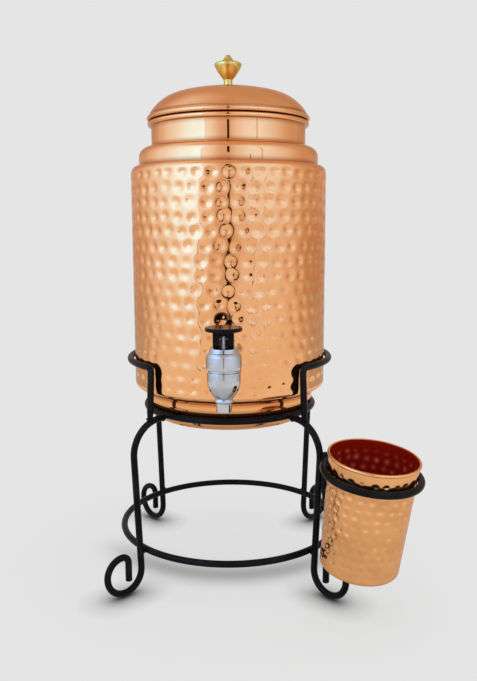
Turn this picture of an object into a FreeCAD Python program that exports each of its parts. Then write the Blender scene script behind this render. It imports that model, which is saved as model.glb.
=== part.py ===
import FreeCAD, Part
import Sketcher
import math
import os

# Copper water dispenser: a hammered pot with a lid and a tap, on a welded rod stand
# that also carries a tumbler in a tilted ring.
# Millimetres. Origin on the pot's axis at the ground. The tap points along -Y, up is +Z.
# A bearing is an angle about +Z, counted from the tap towards +X.

SIZES = [
    # Pot
    ("sheet", 1.0, "thickness of the copper sheet"),
    ("wall_radius", 90.0, "outside of the hammered wall"),
    ("wall_foot", 176.4, "height of the wall's lower edge"),
    ("wall_height", 195.1, "height of the wall's straight part"),
    ("wall_turn", 7.0, "radius of the turn from the wall to the shoulder"),
    ("shoulder_inset", 7.5, "how far the plain shoulder lies inside the wall"),
    ("shoulder_height", 7.5, "height of the shoulder's straight part"),
    ("shoulder_lap", 4.0, "how far the shoulder reaches down inside the wall"),
    ("shoulder_turn", 9.0, "radius of the turn on top of the shoulder"),
    ("neck_inset", 11.8, "how far the neck lies inside the shoulder"),
    ("neck_height", 23.0, "height of the neck with its rolled rim"),
    ("rim_roll", 2.2, "radius of the rolled rim's section"),
    ("step_fall", 5.4, "drop of the sloping step under the wall"),
    ("base_inset", 10.5, "how far the base pan's band lies inside the wall"),
    ("band_height", 6.0, "height of the base pan's band"),
    ("base_taper", 24.0, "slope of the base pan's seat, in degrees from upright"),
    ("pan_depth", 19.6, "drop from the band's lower edge to the underside of the pot"),
    ("floor_turn", 7.0, "radius of the turn from the seat to the floor"),
    ("base_lap", 5.0, "how far the base pan reaches up inside the wall"),
    # Lid
    ("lid_gap", 0.3, "gap between the pot's rim and the lid"),
    ("lid_overhang", 3.9, "how far the lid's rolled edge stands out past the neck"),
    ("lid_edge", 2.4, "radius of the lid's rolled edge"),
    ("lid_rise", 30.8, "height of the dome over the pot's rim"),
    ("dome_radius", 182.6, "large radius of the dome"),
    ("dome_inset", 24.6, "how far in from the lid's edge the large radius ends"),
    ("dome_turn", 39.3, "radius of the dome's shoulder"),
    ("collar_depth", 13.0, "how far the lid's collar reaches into the neck"),
    ("collar_gap", 0.4, "gap between the collar and the neck"),
    # Knob
    ("knob_foot", 5.4, "radius of the knob's foot"),
    ("knob_foot_edge", 1.2, "thickness of the knob's foot"),
    ("knob_neck", 3.9, "radius of the knob's neck"),
    ("knob_neck_foot", 2.4, "height where the neck starts, over the knob's foot"),
    ("knob_neck_head", 6.9, "height where the neck ends"),
    ("knob_side", 40.0, "radius of the knob's curved side"),
    ("knob_rim", 12.3, "radius of the knob's rim"),
    ("knob_rim_foot", 19.2, "height of the rim's lower edge"),
    ("knob_rim_head", 20.1, "height of the rim's upper edge"),
    ("knob_rim_turn", 2.6, "radius of the turn on top of the rim"),
    ("knob_table", 9.6, "radius where that turn ends"),
    ("knob_table_up", 21.9, "height where that turn ends"),
    ("finial_foot", 7.2, "radius of the knob's finial"),
    ("finial_foot_up", 22.4, "height of the finial's foot"),
    ("finial_side", 14.0, "radius of the finial's hollow side"),
    ("finial_neck", 2.8, "radius where the finial's tip starts"),
    ("finial_neck_up", 27.0, "height where the finial's tip starts"),
    ("knob_height", 29.0, "height of the knob"),
    ("screw_radius", 2.5, "radius of the knob's screw"),
    ("screw_grip", 10.0, "how far the screw reaches into the knob"),
    ("screw_well", 1.0, "depth of the knob's bore past the screw"),
    ("screw_head", 4.75, "radius of the screw's head"),
    ("screw_head_height", 3.0, "height of the screw's head"),
    ("screw_head_bevel", 1.0, "bevel on the screw's head"),
    ("screw_washer", 6.5, "radius of the washer under the lid"),
    ("screw_washer_thickness", 1.0, "thickness of that washer"),
    ("screw_washer_gap", 0.05, "gap between that washer and the dome"),
    ("screw_washer_dish", 0.2, "fall of that washer's upper face to its edge"),
    # Stand
    ("rod", 6.0, "diameter of the stand's rod"),
    ("seat_gap", 0.3, "gap between the pot and its seat ring"),
    ("seat_drop", 8.7, "how far the seat ring lies below the band"),
    ("base_ring_radius", 104.3, "radius of the lower ring, to the middle of the rod"),
    ("base_ring_height", 37.2, "height of the lower ring"),
    ("arch_radius", 29.4, "radius of the bend at the top of a leg"),
    ("arch_drop", 1.9, "how far the top of a leg lies below the seat ring"),
    ("foot_radius", 18.0, "radius of the bend that a leg stands on"),
    ("scroll_radius", 15.4, "radius of the scroll's outer turn"),
    ("curl_radius", 6.8, "radius of the scroll's inner turn"),
    ("curl_end", 13.0, "height of the scroll's cut end"),
    ("hoop_gap", 1.3, "gap between the wall and the guard hoop"),
    ("hoop_rise", 24.9, "height of the guard hoop over the wall's lower edge"),
    ("hoop_bend", 5.0, "radius of the hoop's two bends"),
    ("prong_splay", 2.0, "how far a prong leans out on its way down"),
    # Tumbler and its ring
    ("cup_height", 101.0, "height of the tumbler"),
    ("cup_mouth", 37.5, "outside radius of the tumbler's wall at the mouth"),
    ("cup_foot", 33.4, "outside radius of the tumbler's wall at the foot"),
    ("cup_sheet", 1.0, "thickness of the tumbler's wall"),
    ("cup_lip", 1.1, "half the height of the tumbler's rolled lip"),
    ("cup_lip_turn", 1.16, "radius of the rolled lip's round"),
    ("cup_turn", 4.0, "radius of the tumbler's lower corner"),
    ("cup_lean", 7.8, "lean of the tumbler, in degrees"),
    ("cup_drop", 15.7, "distance from the tumbler's lip down to its ring"),
    ("cup_gap", 0.3, "gap between the tumbler and its ring"),
    ("cup_bearing", 50.5, "bearing from the leg to the middle of the ring, in degrees"),
    ("cup_ring_height", 121.9, "height of the middle of the ring"),
    ("hanger_length", 33.0, "length of the short rod between the leg and the ring"),
    ("hanger_rise", 3.5, "how far that rod stands over the ring's middle"),
    # Tap
    ("tap_rise", 26.2, "height of the tap's shank over the wall's lower edge"),
    ("tap_stand", 32.0, "distance from the wall to the tap's axis"),
    ("tip_drop", 26.6, "drop from the shank to the tip of the spout"),
    ("spout_radius", 6.2, "outside of the spout"),
    ("spout_bore", 4.5, "inside of the spout"),
    ("spout_length", 7.3, "length of the plain spout"),
    ("spout_collar", 7.6, "radius of the ring above the spout"),
    ("spout_collar_foot", 8.3, "height of the ring's lower edge over the tip"),
    ("spout_collar_head", 9.9, "height of the ring's upper edge over the tip"),
    ("goblet_neck", 6.8, "radius of the body where its curved side starts"),
    ("goblet_radius", 13.6, "widest radius of the tap's body"),
    ("goblet_turn", 20.6, "radius of the body's curved side"),
    ("goblet_foot", 11.0, "height of the body's curved side over the tip"),
    ("shoulder_line", 33.0, "height of the joint line over the tip"),
    ("joint_line", 1.9, "width of the groove at the joint line"),
    ("joint_depth", 0.9, "depth of that groove"),
    ("joint_bevel", 0.6, "bevel on both sides of that groove"),
    ("chamber_radius", 9.0, "radius of the chamber in the tap"),
    ("chamber_floor", 20.0, "height of the valve seat over the tip"),
    ("thread_radius", 11.4, "radius of the body's thread in the bonnet"),
    ("thread_top", 43.0, "height of the thread's end over the tip"),
    ("bonnet_radius", 14.4, "outside of the bonnet"),
    ("bonnet_edge", 46.2, "height of the bonnet's shoulder over the tip"),
    ("bonnet_neck", 10.5, "radius of the bonnet's neck"),
    ("bonnet_bevel", 2.2, "height of the bonnet's bevel"),
    ("bonnet_round", 0.6, "bevel on the bonnet's upper edge"),
    ("bonnet_top", 52.3, "height of the bonnet's top over the tip"),
    ("stem_radius", 2.75, "radius of the valve stem"),
    ("stem_gap", 0.06, "running gap round the stem"),
    ("stem_collar", 1.5, "thickness of the stem's spring collar"),
    ("stem_end", 3.2, "height of the stem's end over the pin"),
    ("stem_bevel", 1.2, "bevel on the stem's end"),
    ("pin_height", 59.5, "height of the handle's pin over the tip"),
    ("pin_radius", 1.5, "radius of the handle's pin"),
    ("pin_recess", 0.2, "how far the pin's ends lie inside the fork's sides"),
    ("seat_cup_radius", 7.0, "radius of the valve's rubber cup"),
    ("seat_cup_height", 6.0, "height of the valve's rubber cup"),
    ("seat_cup_floor", 2.0, "thickness of the rubber cup's floor"),
    ("seat_cup_edge", 1.6, "height of the rubber cup's sealing edge"),
    ("seat_cup_taper", 1.2, "how far the rubber cup tapers to its top"),
    ("valve_gap", 0.2, "gap between the rubber cup and its seat"),
    ("fork_width", 16.8, "width of the handle's fork"),
    ("fork_depth", 15.0, "depth of the handle's fork"),
    ("fork_slot", 6.0, "width of the slot in the fork"),
    ("fork_slot_rise", 1.8, "height of the slot's arch centre over the pin"),
    ("fork_bite", 0.5, "how far the fork reaches into the disc"),
    ("fork_gap", 0.3, "gap under the fork"),
    ("heel_radius", 3.0, "radius of the fork's heels"),
    ("disc_radius", 15.0, "radius of the thumb disc"),
    ("disc_height", 65.6, "height of the disc's underside over the tip"),
    ("disc_thickness", 3.2, "thickness of the thumb disc"),
    ("shank_radius", 8.0, "outside of the threaded shank"),
    ("shank_bore", 5.0, "inside of the threaded shank"),
    ("shank_inside", 19.0, "how far the shank reaches inside the wall"),
    ("flange_radius", 12.5, "radius of the shank's flange"),
    ("flange_thickness", 2.5, "thickness of the shank's flange"),
    ("washer_radius", 13.0, "radius of the two sealing washers"),
    ("washer_thickness", 3.0, "thickness of a sealing washer"),
    ("hole_gap", 0.3, "gap round the shank in the wall and the washers"),
    ("nut_width", 24.0, "width of the lock nut over its flats"),
    ("nut_thickness", 6.0, "thickness of the lock nut"),
    ("spring_wire", 0.9, "diameter of the spring's wire"),
    ("spring_radius", 5.2, "radius of the spring, to the middle of the wire"),
    ("spring_slack", 0.1, "gap at each end of the spring"),
]
WORKED_OUT = [
    ("wall_head", "wall_foot + wall_height", "height where the wall starts to turn in"),
    ("shoulder_radius", "wall_radius - shoulder_inset", "outside of the plain shoulder"),
    ("shoulder_head", "wall_head + wall_turn + shoulder_height", "height where the shoulder turns in"),
    ("neck_radius", "shoulder_radius - neck_inset", "outside of the neck"),
    ("rim_height", "shoulder_head + shoulder_turn + neck_height", "top of the rolled rim"),
    ("base_radius", "wall_radius - base_inset", "outside of the base pan's band"),
    ("band_foot", "wall_foot - step_fall - band_height", "height of the band's lower edge"),
    ("floor_height", "band_foot - pan_depth", "underside of the pot"),
    ("lid_radius", "neck_radius + lid_overhang", "outside of the lid's rolled edge"),
    ("dome_reach", "lid_radius - dome_inset", "how far out the large radius runs"),
    ("seat_height", "band_foot - seat_drop", "height of the seat ring"),
    ("arch_centre", "seat_height - arch_drop - arch_radius", "height of the centre of a leg's bend"),
    ("hoop_height", "wall_foot + hoop_rise", "height of the guard hoop"),
    ("tap_height", "wall_foot + tap_rise", "height of the tap's shank"),
    ("tap_reach", "wall_radius + tap_stand", "distance from the pot's axis to the tap's axis"),
    ("shank_end", "wall_radius - shank_inside", "distance from the pot's axis to the shank's end"),
]
SPRING_TURNS = 6
FRONT_BEARING = 45
LEG_BEARINGS = {
    "leg_front_left": -FRONT_BEARING,
    "leg_front_right": FRONT_BEARING,
    "leg_rear_left": FRONT_BEARING - 180,
    "leg_rear_right": 180 - FRONT_BEARING,
}

doc = FreeCAD.newDocument("dispenser")
sheet = doc.addObject("Spreadsheet::Sheet", "sizes")
formulas = [(alias, "=" + formula, meaning) for alias, formula, meaning in WORKED_OUT]
for row, (alias, amount, meaning) in enumerate(SIZES + formulas, start=1):
    sheet.set("A%d" % row, meaning)
    sheet.set("B%d" % row, str(amount))
    sheet.setAlias("B%d" % row, alias)
doc.recompute()


class Size:
    """A length from the sheet, or one worked out from some, with the expression that gives it."""

    def __init__(self, value, text):
        self.value = value
        self.text = text

    def joined(self, other, sign, value):
        text = other.text if isinstance(other, Size) else repr(float(other))
        return Size(value, "(%s %s %s)" % (self.text, sign, text))

    def __add__(self, other):
        return self.joined(other, "+", self.value + number(other))

    def __sub__(self, other):
        return self.joined(other, "-", self.value - number(other))

    def __mul__(self, other):
        return self.joined(other, "*", self.value * number(other))

    def __truediv__(self, other):
        return self.joined(other, "/", self.value / number(other))


def number(length):
    """The plain value of a Size or a number."""
    return length.value if isinstance(length, Size) else float(length)


def function_of(name, length, value):
    return Size(value, "%s(%s)" % (name, length.text))


def root(length):
    return function_of("sqrt", length, math.sqrt(length.value))


def sine(degrees):
    return Size(math.sin(math.radians(degrees.value)), "sin(%s * 1 deg)" % degrees.text)


def cosine(degrees):
    return Size(math.cos(math.radians(degrees.value)), "cos(%s * 1 deg)" % degrees.text)


def tangent(degrees):
    return sine(degrees) / cosine(degrees)


S = {alias: Size(float(sheet.get(alias)), "sizes." + alias) for alias, *rest in SIZES + WORKED_OUT}
ZERO = Size(0.0, "0")
UP = FreeCAD.Vector(0, 0, 1)
pieces = {}


def keep(label, piece):
    """Names an object as a sub-part of the dispenser."""
    piece.Label = label
    pieces[label] = piece
    return piece


def bind(thing, **expressions):
    """Binds properties of an object, such as Radius, to lengths."""
    for prop, length in expressions.items():
        if isinstance(length, Size):
            thing.setExpression(prop, length.text)
        else:
            setattr(thing, prop, length)


def plane_sketch(body, role, name):
    """An empty sketch on one of the body's own origin planes."""
    sketch = body.newObject("Sketcher::SketchObject", name)
    origin_planes = [plane for plane in body.Origin.OriginFeatures if plane.Role == role]
    sketch.AttachmentSupport = [(origin_planes[0], "")]
    sketch.MapMode = "FlatFace"
    return sketch


def pin_point(sketch, edge, end, across, up):
    """Holds one point of a sketch at a place given by two lengths."""
    if number(across) == 0:
        sketch.addConstraint(Sketcher.Constraint("PointOnObject", edge, end, -2))
    else:
        index = sketch.addConstraint(Sketcher.Constraint("DistanceX", -1, 1, edge, end, across.value))
        sketch.setExpression("Constraints[%d]" % index, across.text)
    if number(up) == 0:
        sketch.addConstraint(Sketcher.Constraint("PointOnObject", edge, end, -1))
    else:
        index = sketch.addConstraint(Sketcher.Constraint("DistanceY", -1, 1, edge, end, up.value))
        sketch.setExpression("Constraints[%d]" % index, up.text)


def arc_between(start, end, radius):
    """The short arc from start to end: to the left of the chord's way where the radius is negative."""
    chord = end - start
    half = chord.Length / 2
    side = FreeCAD.Vector(-chord.y, chord.x, 0).normalize()
    rise = math.sqrt(max(radius * radius - half * half, 0.0))
    centre = (start + end) / 2 + side * (rise if radius > 0 else -rise)
    circle = Part.Circle(centre, FreeCAD.Vector(0, 0, 1), abs(radius))
    first, last = (start, end) if radius > 0 else (end, start)
    angles = [math.atan2(point.y - centre.y, point.x - centre.x) for point in (first, last)]
    return Part.ArcOfCircle(circle, angles[0], angles[1])


def outline(sketch, corners):
    """Draws a closed outline. A corner is (across, up), or (across, up, radius, side) where an arc
    leaves it: side is 1 where the arc's centre lies to the left of its chord, and -1 to the right."""
    places = [FreeCAD.Vector(number(corner[0]), number(corner[1]), 0) for corner in corners]
    ends = []
    for index, corner in enumerate(corners):
        start = places[index]
        end = places[(index + 1) % len(places)]
        if len(corner) == 2:
            edge = sketch.addGeometry(Part.LineSegment(start, end), False)
            ends.append((edge, 1, 2))
        else:
            edge = sketch.addGeometry(arc_between(start, end, number(corner[2]) * corner[3]), False)
            ends.append((edge, 1, 2) if corner[3] > 0 else (edge, 2, 1))
    for index, (edge, first, last) in enumerate(ends):
        following = ends[(index + 1) % len(ends)]
        sketch.addConstraint(Sketcher.Constraint("Coincident", edge, last, following[0], following[1]))
    for index, (edge, first, last) in enumerate(ends):
        pin_point(sketch, edge, first, corners[index][0], corners[index][1])
        if len(corners[index]) > 2:
            radius = corners[index][2]
            place = sketch.addConstraint(Sketcher.Constraint("Radius", edge, radius.value))
            sketch.setExpression("Constraints[%d]" % place, radius.text)


def turned(label, corners):
    """A body turned about its own Z axis from an outline of (radius, height) corners."""
    body = doc.addObject("PartDesign::Body", label)
    sketch = plane_sketch(body, "XZ_Plane", label + "_outline")
    outline(sketch, corners)
    solid = body.newObject("PartDesign::Revolution", label + "_turned")
    solid.Profile = sketch
    solid.ReferenceAxis = (sketch, ["V_Axis"])
    solid.Angle = 360
    sketch.Visibility = False
    return body


def place_at_tap(piece):
    """Moves a piece made about the spout's tip to the tap's place."""
    piece.setExpression("Placement.Base.y", "-sizes.tap_reach")
    piece.setExpression("Placement.Base.z", "sizes.tap_height - sizes.tip_drop")


def cylinder(name, radius, height):
    rod = doc.addObject("Part::Cylinder", name)
    bind(rod, Radius=radius, Height=height)
    return rod


def along_y(thing, start, up):
    """Lays a cylinder along +Y, from a distance in front of the pot's axis, at a height."""
    thing.Placement.Rotation = FreeCAD.Rotation(FreeCAD.Vector(1, 0, 0), -90)
    thing.setExpression("Placement.Base.y", "-" + start.text)
    thing.setExpression("Placement.Base.z", up.text)


def cut(name, base, tool):
    result = doc.addObject("Part::Cut", name)
    result.Base = base
    result.Tool = tool
    return result


def fused(name, shapes):
    result = doc.addObject("Part::MultiFuse", name)
    result.Shapes = shapes
    return result


# Pot: a hammered wall, and a plain shoulder with the neck and rolled rim, brazed inside its top.
def make_vessel():
    skin = S["sheet"]
    wall_in = S["wall_radius"] - skin
    turn_radius = S["wall_radius"] - S["wall_turn"]
    turn_top = S["wall_head"] + S["wall_turn"]
    shoulder_in = S["shoulder_radius"] - skin
    shelf = S["shoulder_head"] + S["shoulder_turn"]
    shelf_radius = S["shoulder_radius"] - S["shoulder_turn"]
    neck_in = S["neck_radius"] - skin
    roll_middle = S["rim_height"] - S["rim_roll"]
    step_foot = S["wall_foot"] - S["step_fall"]
    shell = turned("wall_shell", [
        (S["base_radius"], step_foot),
        (S["wall_radius"], S["wall_foot"]),
        (S["wall_radius"], S["wall_head"], S["wall_turn"], 1),
        (turn_radius, turn_top),
        (S["shoulder_radius"], turn_top),
        (S["shoulder_radius"], turn_top - skin),
        (turn_radius, turn_top - skin, S["wall_turn"] - skin, -1),
        (wall_in, S["wall_head"]),
        (wall_in, S["wall_foot"] + skin / 2),
        (S["base_radius"], step_foot + skin + skin / 4),
    ])
    hole = cylinder("tap_hole", S["shank_radius"] + S["hole_gap"], S["wall_radius"])
    along_y(hole, S["wall_radius"] + S["sheet"], S["tap_height"])
    keep("vessel_wall", cut("vessel_wall", shell, hole))

    lap_foot = turn_top - S["shoulder_lap"]
    keep("vessel_shoulder", turned("vessel_shoulder", [
        (S["shoulder_radius"], lap_foot),
        (S["shoulder_radius"], S["shoulder_head"], S["shoulder_turn"], 1),
        (shelf_radius, shelf),
        (S["neck_radius"], shelf),
        (S["neck_radius"], roll_middle - S["rim_roll"]),
        (S["neck_radius"] + S["rim_roll"] / 2, roll_middle - S["rim_roll"], S["rim_roll"], 1),
        (S["neck_radius"] + S["rim_roll"] / 2, S["rim_height"]),
        (neck_in, S["rim_height"]),
        (neck_in, shelf - skin),
        (shelf_radius, shelf - skin, S["shoulder_turn"] - skin, -1),
        (shoulder_in, S["shoulder_head"]),
        (shoulder_in, lap_foot),
    ]))

    # The base pan is brazed inside the wall's lower opening. Its tapered side sits in the seat ring.
    outer = S["base_radius"]
    fall = S["band_foot"] - S["floor_height"]
    floor_radius = outer - (fall - S["floor_turn"]) * tangent(S["base_taper"])
    floor_edge = floor_radius - S["floor_turn"]
    keep("vessel_base", turned("vessel_base", [
        (ZERO, S["floor_height"]),
        (floor_edge, S["floor_height"], S["floor_turn"] + skin, 1),
        (floor_radius, S["floor_height"] + S["floor_turn"]),
        (outer, S["band_foot"]),
        (outer, step_foot + S["base_lap"]),
        (outer - skin, step_foot + S["base_lap"]),
        (outer - skin, S["band_foot"] + skin / 4),
        (floor_radius - skin, S["floor_height"] + S["floor_turn"] + skin / 4, S["floor_turn"], -1),
        (floor_edge, S["floor_height"] + skin),
        (ZERO, S["floor_height"] + skin),
    ]))


# Lid: a domed sheet with a rolled edge, a collar that drops into the neck, and a screwed-on knob.
def make_lid():
    skin = S["sheet"]
    bottom = S["rim_height"] + S["lid_gap"]
    apex = bottom + S["lid_rise"]
    dome = S["dome_radius"]
    centre_up = apex - dome
    drop = dome - root(dome * dome - S["dome_reach"] * S["dome_reach"])
    edge_middle = bottom + S["lid_edge"]
    # The dome's shoulder is a smaller arc that runs on smoothly from the large one.
    share = (dome - S["dome_turn"]) / dome
    turn_across = S["dome_reach"] * share
    turn_up = centre_up + (dome - drop) * share
    edge_across = S["lid_radius"] - S["lid_edge"] / 2
    span = edge_across - turn_across
    edge_up = turn_up + root(S["dome_turn"] * S["dome_turn"] - span * span)
    collar_outer = S["neck_radius"] - skin - S["collar_gap"]
    inner_turn = S["dome_turn"] - skin
    inner_span = collar_outer - turn_across
    inner_up = turn_up + root(inner_turn * inner_turn - inner_span * inner_span)
    inner_dome = dome - skin
    shrink = inner_dome / dome
    reach_in = S["dome_reach"] * shrink
    reach_in_up = centre_up + (dome - drop) * shrink
    hole = S["screw_radius"] + S["hole_gap"]
    hole_up = centre_up + root(dome * dome - hole * hole)
    hole_in_up = centre_up + root(inner_dome * inner_dome - hole * hole)
    keep("lid_dome", turned("lid_dome", [
        (hole, hole_in_up, inner_dome, -1),
        (reach_in, reach_in_up, inner_turn, -1),
        (collar_outer, inner_up),
        (collar_outer, bottom),
        (edge_across, bottom, S["lid_edge"], 1),
        (edge_across + S["lid_edge"] / 2, edge_middle),
        (edge_across, edge_up, S["dome_turn"], 1),
        (S["dome_reach"], apex - drop, dome, 1),
        (hole, hole_up),
    ]))
    keep("lid_collar", turned("lid_collar", [
        (collar_outer - skin, bottom - S["collar_depth"]),
        (collar_outer, bottom - S["collar_depth"]),
        (collar_outer, edge_middle),
        (collar_outer - skin, edge_middle),
    ]))

    # Knob: a turned vase with a rounded rim and a pointed finial, bored from below for its screw.
    well = hole_up + S["screw_grip"] + S["screw_well"]
    # The tip is part of a ball, so its centre lies on the axis.
    tip = S["knob_height"] - S["finial_neck_up"]
    ball = (tip * tip + S["finial_neck"] * S["finial_neck"]) / (tip * 2)
    keep("lid_knob", turned("lid_knob", [
        (S["screw_radius"], hole_up),
        (S["knob_foot"], hole_up),
        (S["knob_foot"], hole_up + S["knob_foot_edge"]),
        (S["knob_neck"], hole_up + S["knob_neck_foot"]),
        (S["knob_neck"], hole_up + S["knob_neck_head"], S["knob_side"], 1),
        (S["knob_rim"], hole_up + S["knob_rim_foot"]),
        (S["knob_rim"], hole_up + S["knob_rim_head"], S["knob_rim_turn"], 1),
        (S["knob_table"], hole_up + S["knob_table_up"]),
        (S["finial_foot"], hole_up + S["finial_foot_up"], S["finial_side"], -1),
        (S["finial_neck"], hole_up + S["finial_neck_up"], ball, 1),
        (ZERO, hole_up + S["knob_height"]),
        (ZERO, well),
        (S["screw_radius"], well),
    ]))
    washer_top = hole_in_up - S["screw_washer_gap"]
    washer_foot = washer_top - S["screw_washer_thickness"]
    keep("knob_washer", turned("knob_washer", [
        (hole, washer_foot),
        (S["screw_washer"], washer_foot),
        (S["screw_washer"], washer_top - S["screw_washer_dish"]),
        (hole, washer_top),
    ]))
    head_foot = washer_foot - S["screw_head_height"]
    keep("knob_screw", turned("knob_screw", [
        (ZERO, head_foot),
        (S["screw_head"] - S["screw_head_bevel"], head_foot),
        (S["screw_head"], head_foot + S["screw_head_bevel"]),
        (S["screw_head"], washer_foot),
        (S["screw_radius"], washer_foot),
        (S["screw_radius"], hole_up + S["screw_grip"]),
        (ZERO, hole_up + S["screw_grip"]),
    ]))


def ring(label, radius):
    """A closed ring of the stand's rod, about Z."""
    torus = doc.addObject("Part::Torus", label)
    bind(torus, Radius1=radius, Radius2=S["rod"] / 2)
    return keep(label, torus)


def seat_ring_radius():
    """Puts the seat ring against the base pan's tapered side, less the gap."""
    side_up = S["band_foot"] - S["seat_height"]
    side_radius = S["base_radius"] - side_up * tangent(S["base_taper"])
    return side_radius + (S["rod"] / 2 + S["seat_gap"]) / cosine(S["base_taper"])


# Leg: one rod, butted on the seat ring, bent down in an arch and rolled out in a scroll foot.
def make_leg(label, bearing):
    half = S["rod"] / 2
    start = seat_ring_radius() + half
    arch_across = start + half
    touch = FreeCAD.Vector(S["base_ring_radius"].value + S["rod"].value, S["base_ring_height"].value, 0)
    arch = FreeCAD.Vector(arch_across.value, S["arch_centre"].value, 0)
    away = touch - arch
    turn = math.atan2(away.y, away.x) + math.acos(S["arch_radius"].value / away.Length)
    normal = FreeCAD.Vector(math.cos(turn), math.sin(turn), 0)
    leaves = arch + normal * S["arch_radius"].value
    down = FreeCAD.Vector(normal.y, -normal.x, 0)
    foot_up = S["foot_radius"].value + half.value
    to_foot = (foot_up - leaves.y - normal.y * S["foot_radius"].value) / down.y
    lands = leaves + down * to_foot
    foot = lands + normal * S["foot_radius"].value
    scroll = foot + FreeCAD.Vector(S["foot_radius"].value - S["scroll_radius"].value, 0, 0)
    curl = scroll + FreeCAD.Vector(0, S["scroll_radius"].value - S["curl_radius"].value, 0)
    curl_side = curl - FreeCAD.Vector(S["curl_radius"].value, 0, 0)

    def arc(centre, radius, first, last):
        return Part.ArcOfCircle(Part.Circle(centre, UP, radius.value), first, last)

    body = doc.addObject("PartDesign::Body", label)
    path = plane_sketch(body, "XZ_Plane", label + "_path")
    stub_start = FreeCAD.Vector(start.value, arch.y + S["arch_radius"].value, 0)
    stub_end = FreeCAD.Vector(arch.x, stub_start.y, 0)
    stub = path.addGeometry(Part.LineSegment(stub_start, stub_end), False)
    bend = path.addGeometry(arc(arch, S["arch_radius"], turn, math.pi / 2), False)
    shaft = path.addGeometry(Part.LineSegment(leaves, lands), False)
    sole = path.addGeometry(arc(foot, S["foot_radius"], math.pi + turn, 2 * math.pi), False)
    scroll_arc = path.addGeometry(arc(scroll, S["scroll_radius"], 0, math.pi / 2), False)
    curl_arc = path.addGeometry(arc(curl, S["curl_radius"], math.pi / 2, math.pi), False)
    tail_end = FreeCAD.Vector(curl_side.x, S["curl_end"].value, 0)
    tail = path.addGeometry(Part.LineSegment(curl_side, tail_end), False)

    def rule(*values):
        return path.addConstraint(Sketcher.Constraint(*values))

    def measure(kind, length, *where):
        path.setExpression("Constraints[%d]" % rule(kind, *where, length.value), length.text)

    rule("Tangent", stub, 2, bend, 2)
    rule("Tangent", bend, 1, shaft, 1)
    rule("Tangent", shaft, 2, sole, 1)
    rule("Tangent", sole, 2, scroll_arc, 1)
    rule("Tangent", scroll_arc, 2, curl_arc, 1)
    rule("Tangent", curl_arc, 2, tail, 1)
    rule("Horizontal", stub)
    rule("Vertical", tail)
    rule("Horizontal", sole, 3, scroll_arc, 3)
    rule("Vertical", scroll_arc, 3, curl_arc, 3)
    measure("DistanceX", start, -1, 1, stub, 1)
    measure("DistanceX", arch_across, -1, 1, bend, 3)
    measure("DistanceY", S["arch_centre"], -1, 1, bend, 3)
    measure("Radius", S["arch_radius"], bend)
    measure("Radius", S["foot_radius"], sole)
    measure("DistanceY", S["foot_radius"] + half, -1, 1, sole, 3)
    measure("Radius", S["scroll_radius"], scroll_arc)
    measure("Radius", S["curl_radius"], curl_arc)
    measure("DistanceY", S["curl_end"], -1, 1, tail, 2)
    rest = path.addGeometry(Part.Point(touch), True)
    rule("PointOnObject", rest, 1, shaft)
    measure("DistanceX", S["base_ring_radius"] + S["rod"], -1, 1, rest, 1)
    measure("DistanceY", S["base_ring_height"], -1, 1, rest, 1)

    section = plane_sketch(body, "YZ_Plane", label + "_section")
    section.setExpression("AttachmentOffset.Base.z", start.text)
    circle = Part.Circle(FreeCAD.Vector(0, stub_start.y, 0), UP, half.value)
    section.addGeometry(circle, False)
    pin_point(section, 0, 3, ZERO, S["arch_centre"] + S["arch_radius"])
    place = section.addConstraint(Sketcher.Constraint("Radius", 0, half.value))
    section.setExpression("Constraints[%d]" % place, half.text)
    pipe = body.newObject("PartDesign::AdditivePipe", label + "_rod")
    pipe.Profile = section
    pipe.Spine = (path, ["Edge%d" % (edge + 1) for edge in range(tail + 1)])
    body.Placement.Rotation = FreeCAD.Rotation(UP, bearing - 90)
    keep(label, body)


def leg_radius_at(height):
    """Distance of a front leg's middle from the pot's axis at a height on its straight shaft."""
    arch_across = seat_ring_radius().value + S["rod"].value
    touch_across = S["base_ring_radius"].value + S["rod"].value
    fall = S["base_ring_height"].value - S["arch_centre"].value
    away = FreeCAD.Vector(touch_across - arch_across, fall, 0)
    turn = math.atan2(away.y, away.x) + math.acos(S["arch_radius"].value / away.Length)
    return touch_across - (height - S["base_ring_height"].value) * math.tan(turn)


def direction(bearing):
    """The level direction of a bearing."""
    angle = math.radians(bearing)
    return FreeCAD.Vector(math.sin(angle), -math.cos(angle), 0)


def swept_rod(edges, radius):
    """A round rod along a wire of lines and arcs."""
    wire = Part.Wire(edges)
    start = edges[0].valueAt(edges[0].FirstParameter)
    along = edges[0].tangentAt(edges[0].FirstParameter)
    section = Part.Wire([Part.makeCircle(radius, start, along)])
    return wire.makePipeShell([section], True, False)


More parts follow.
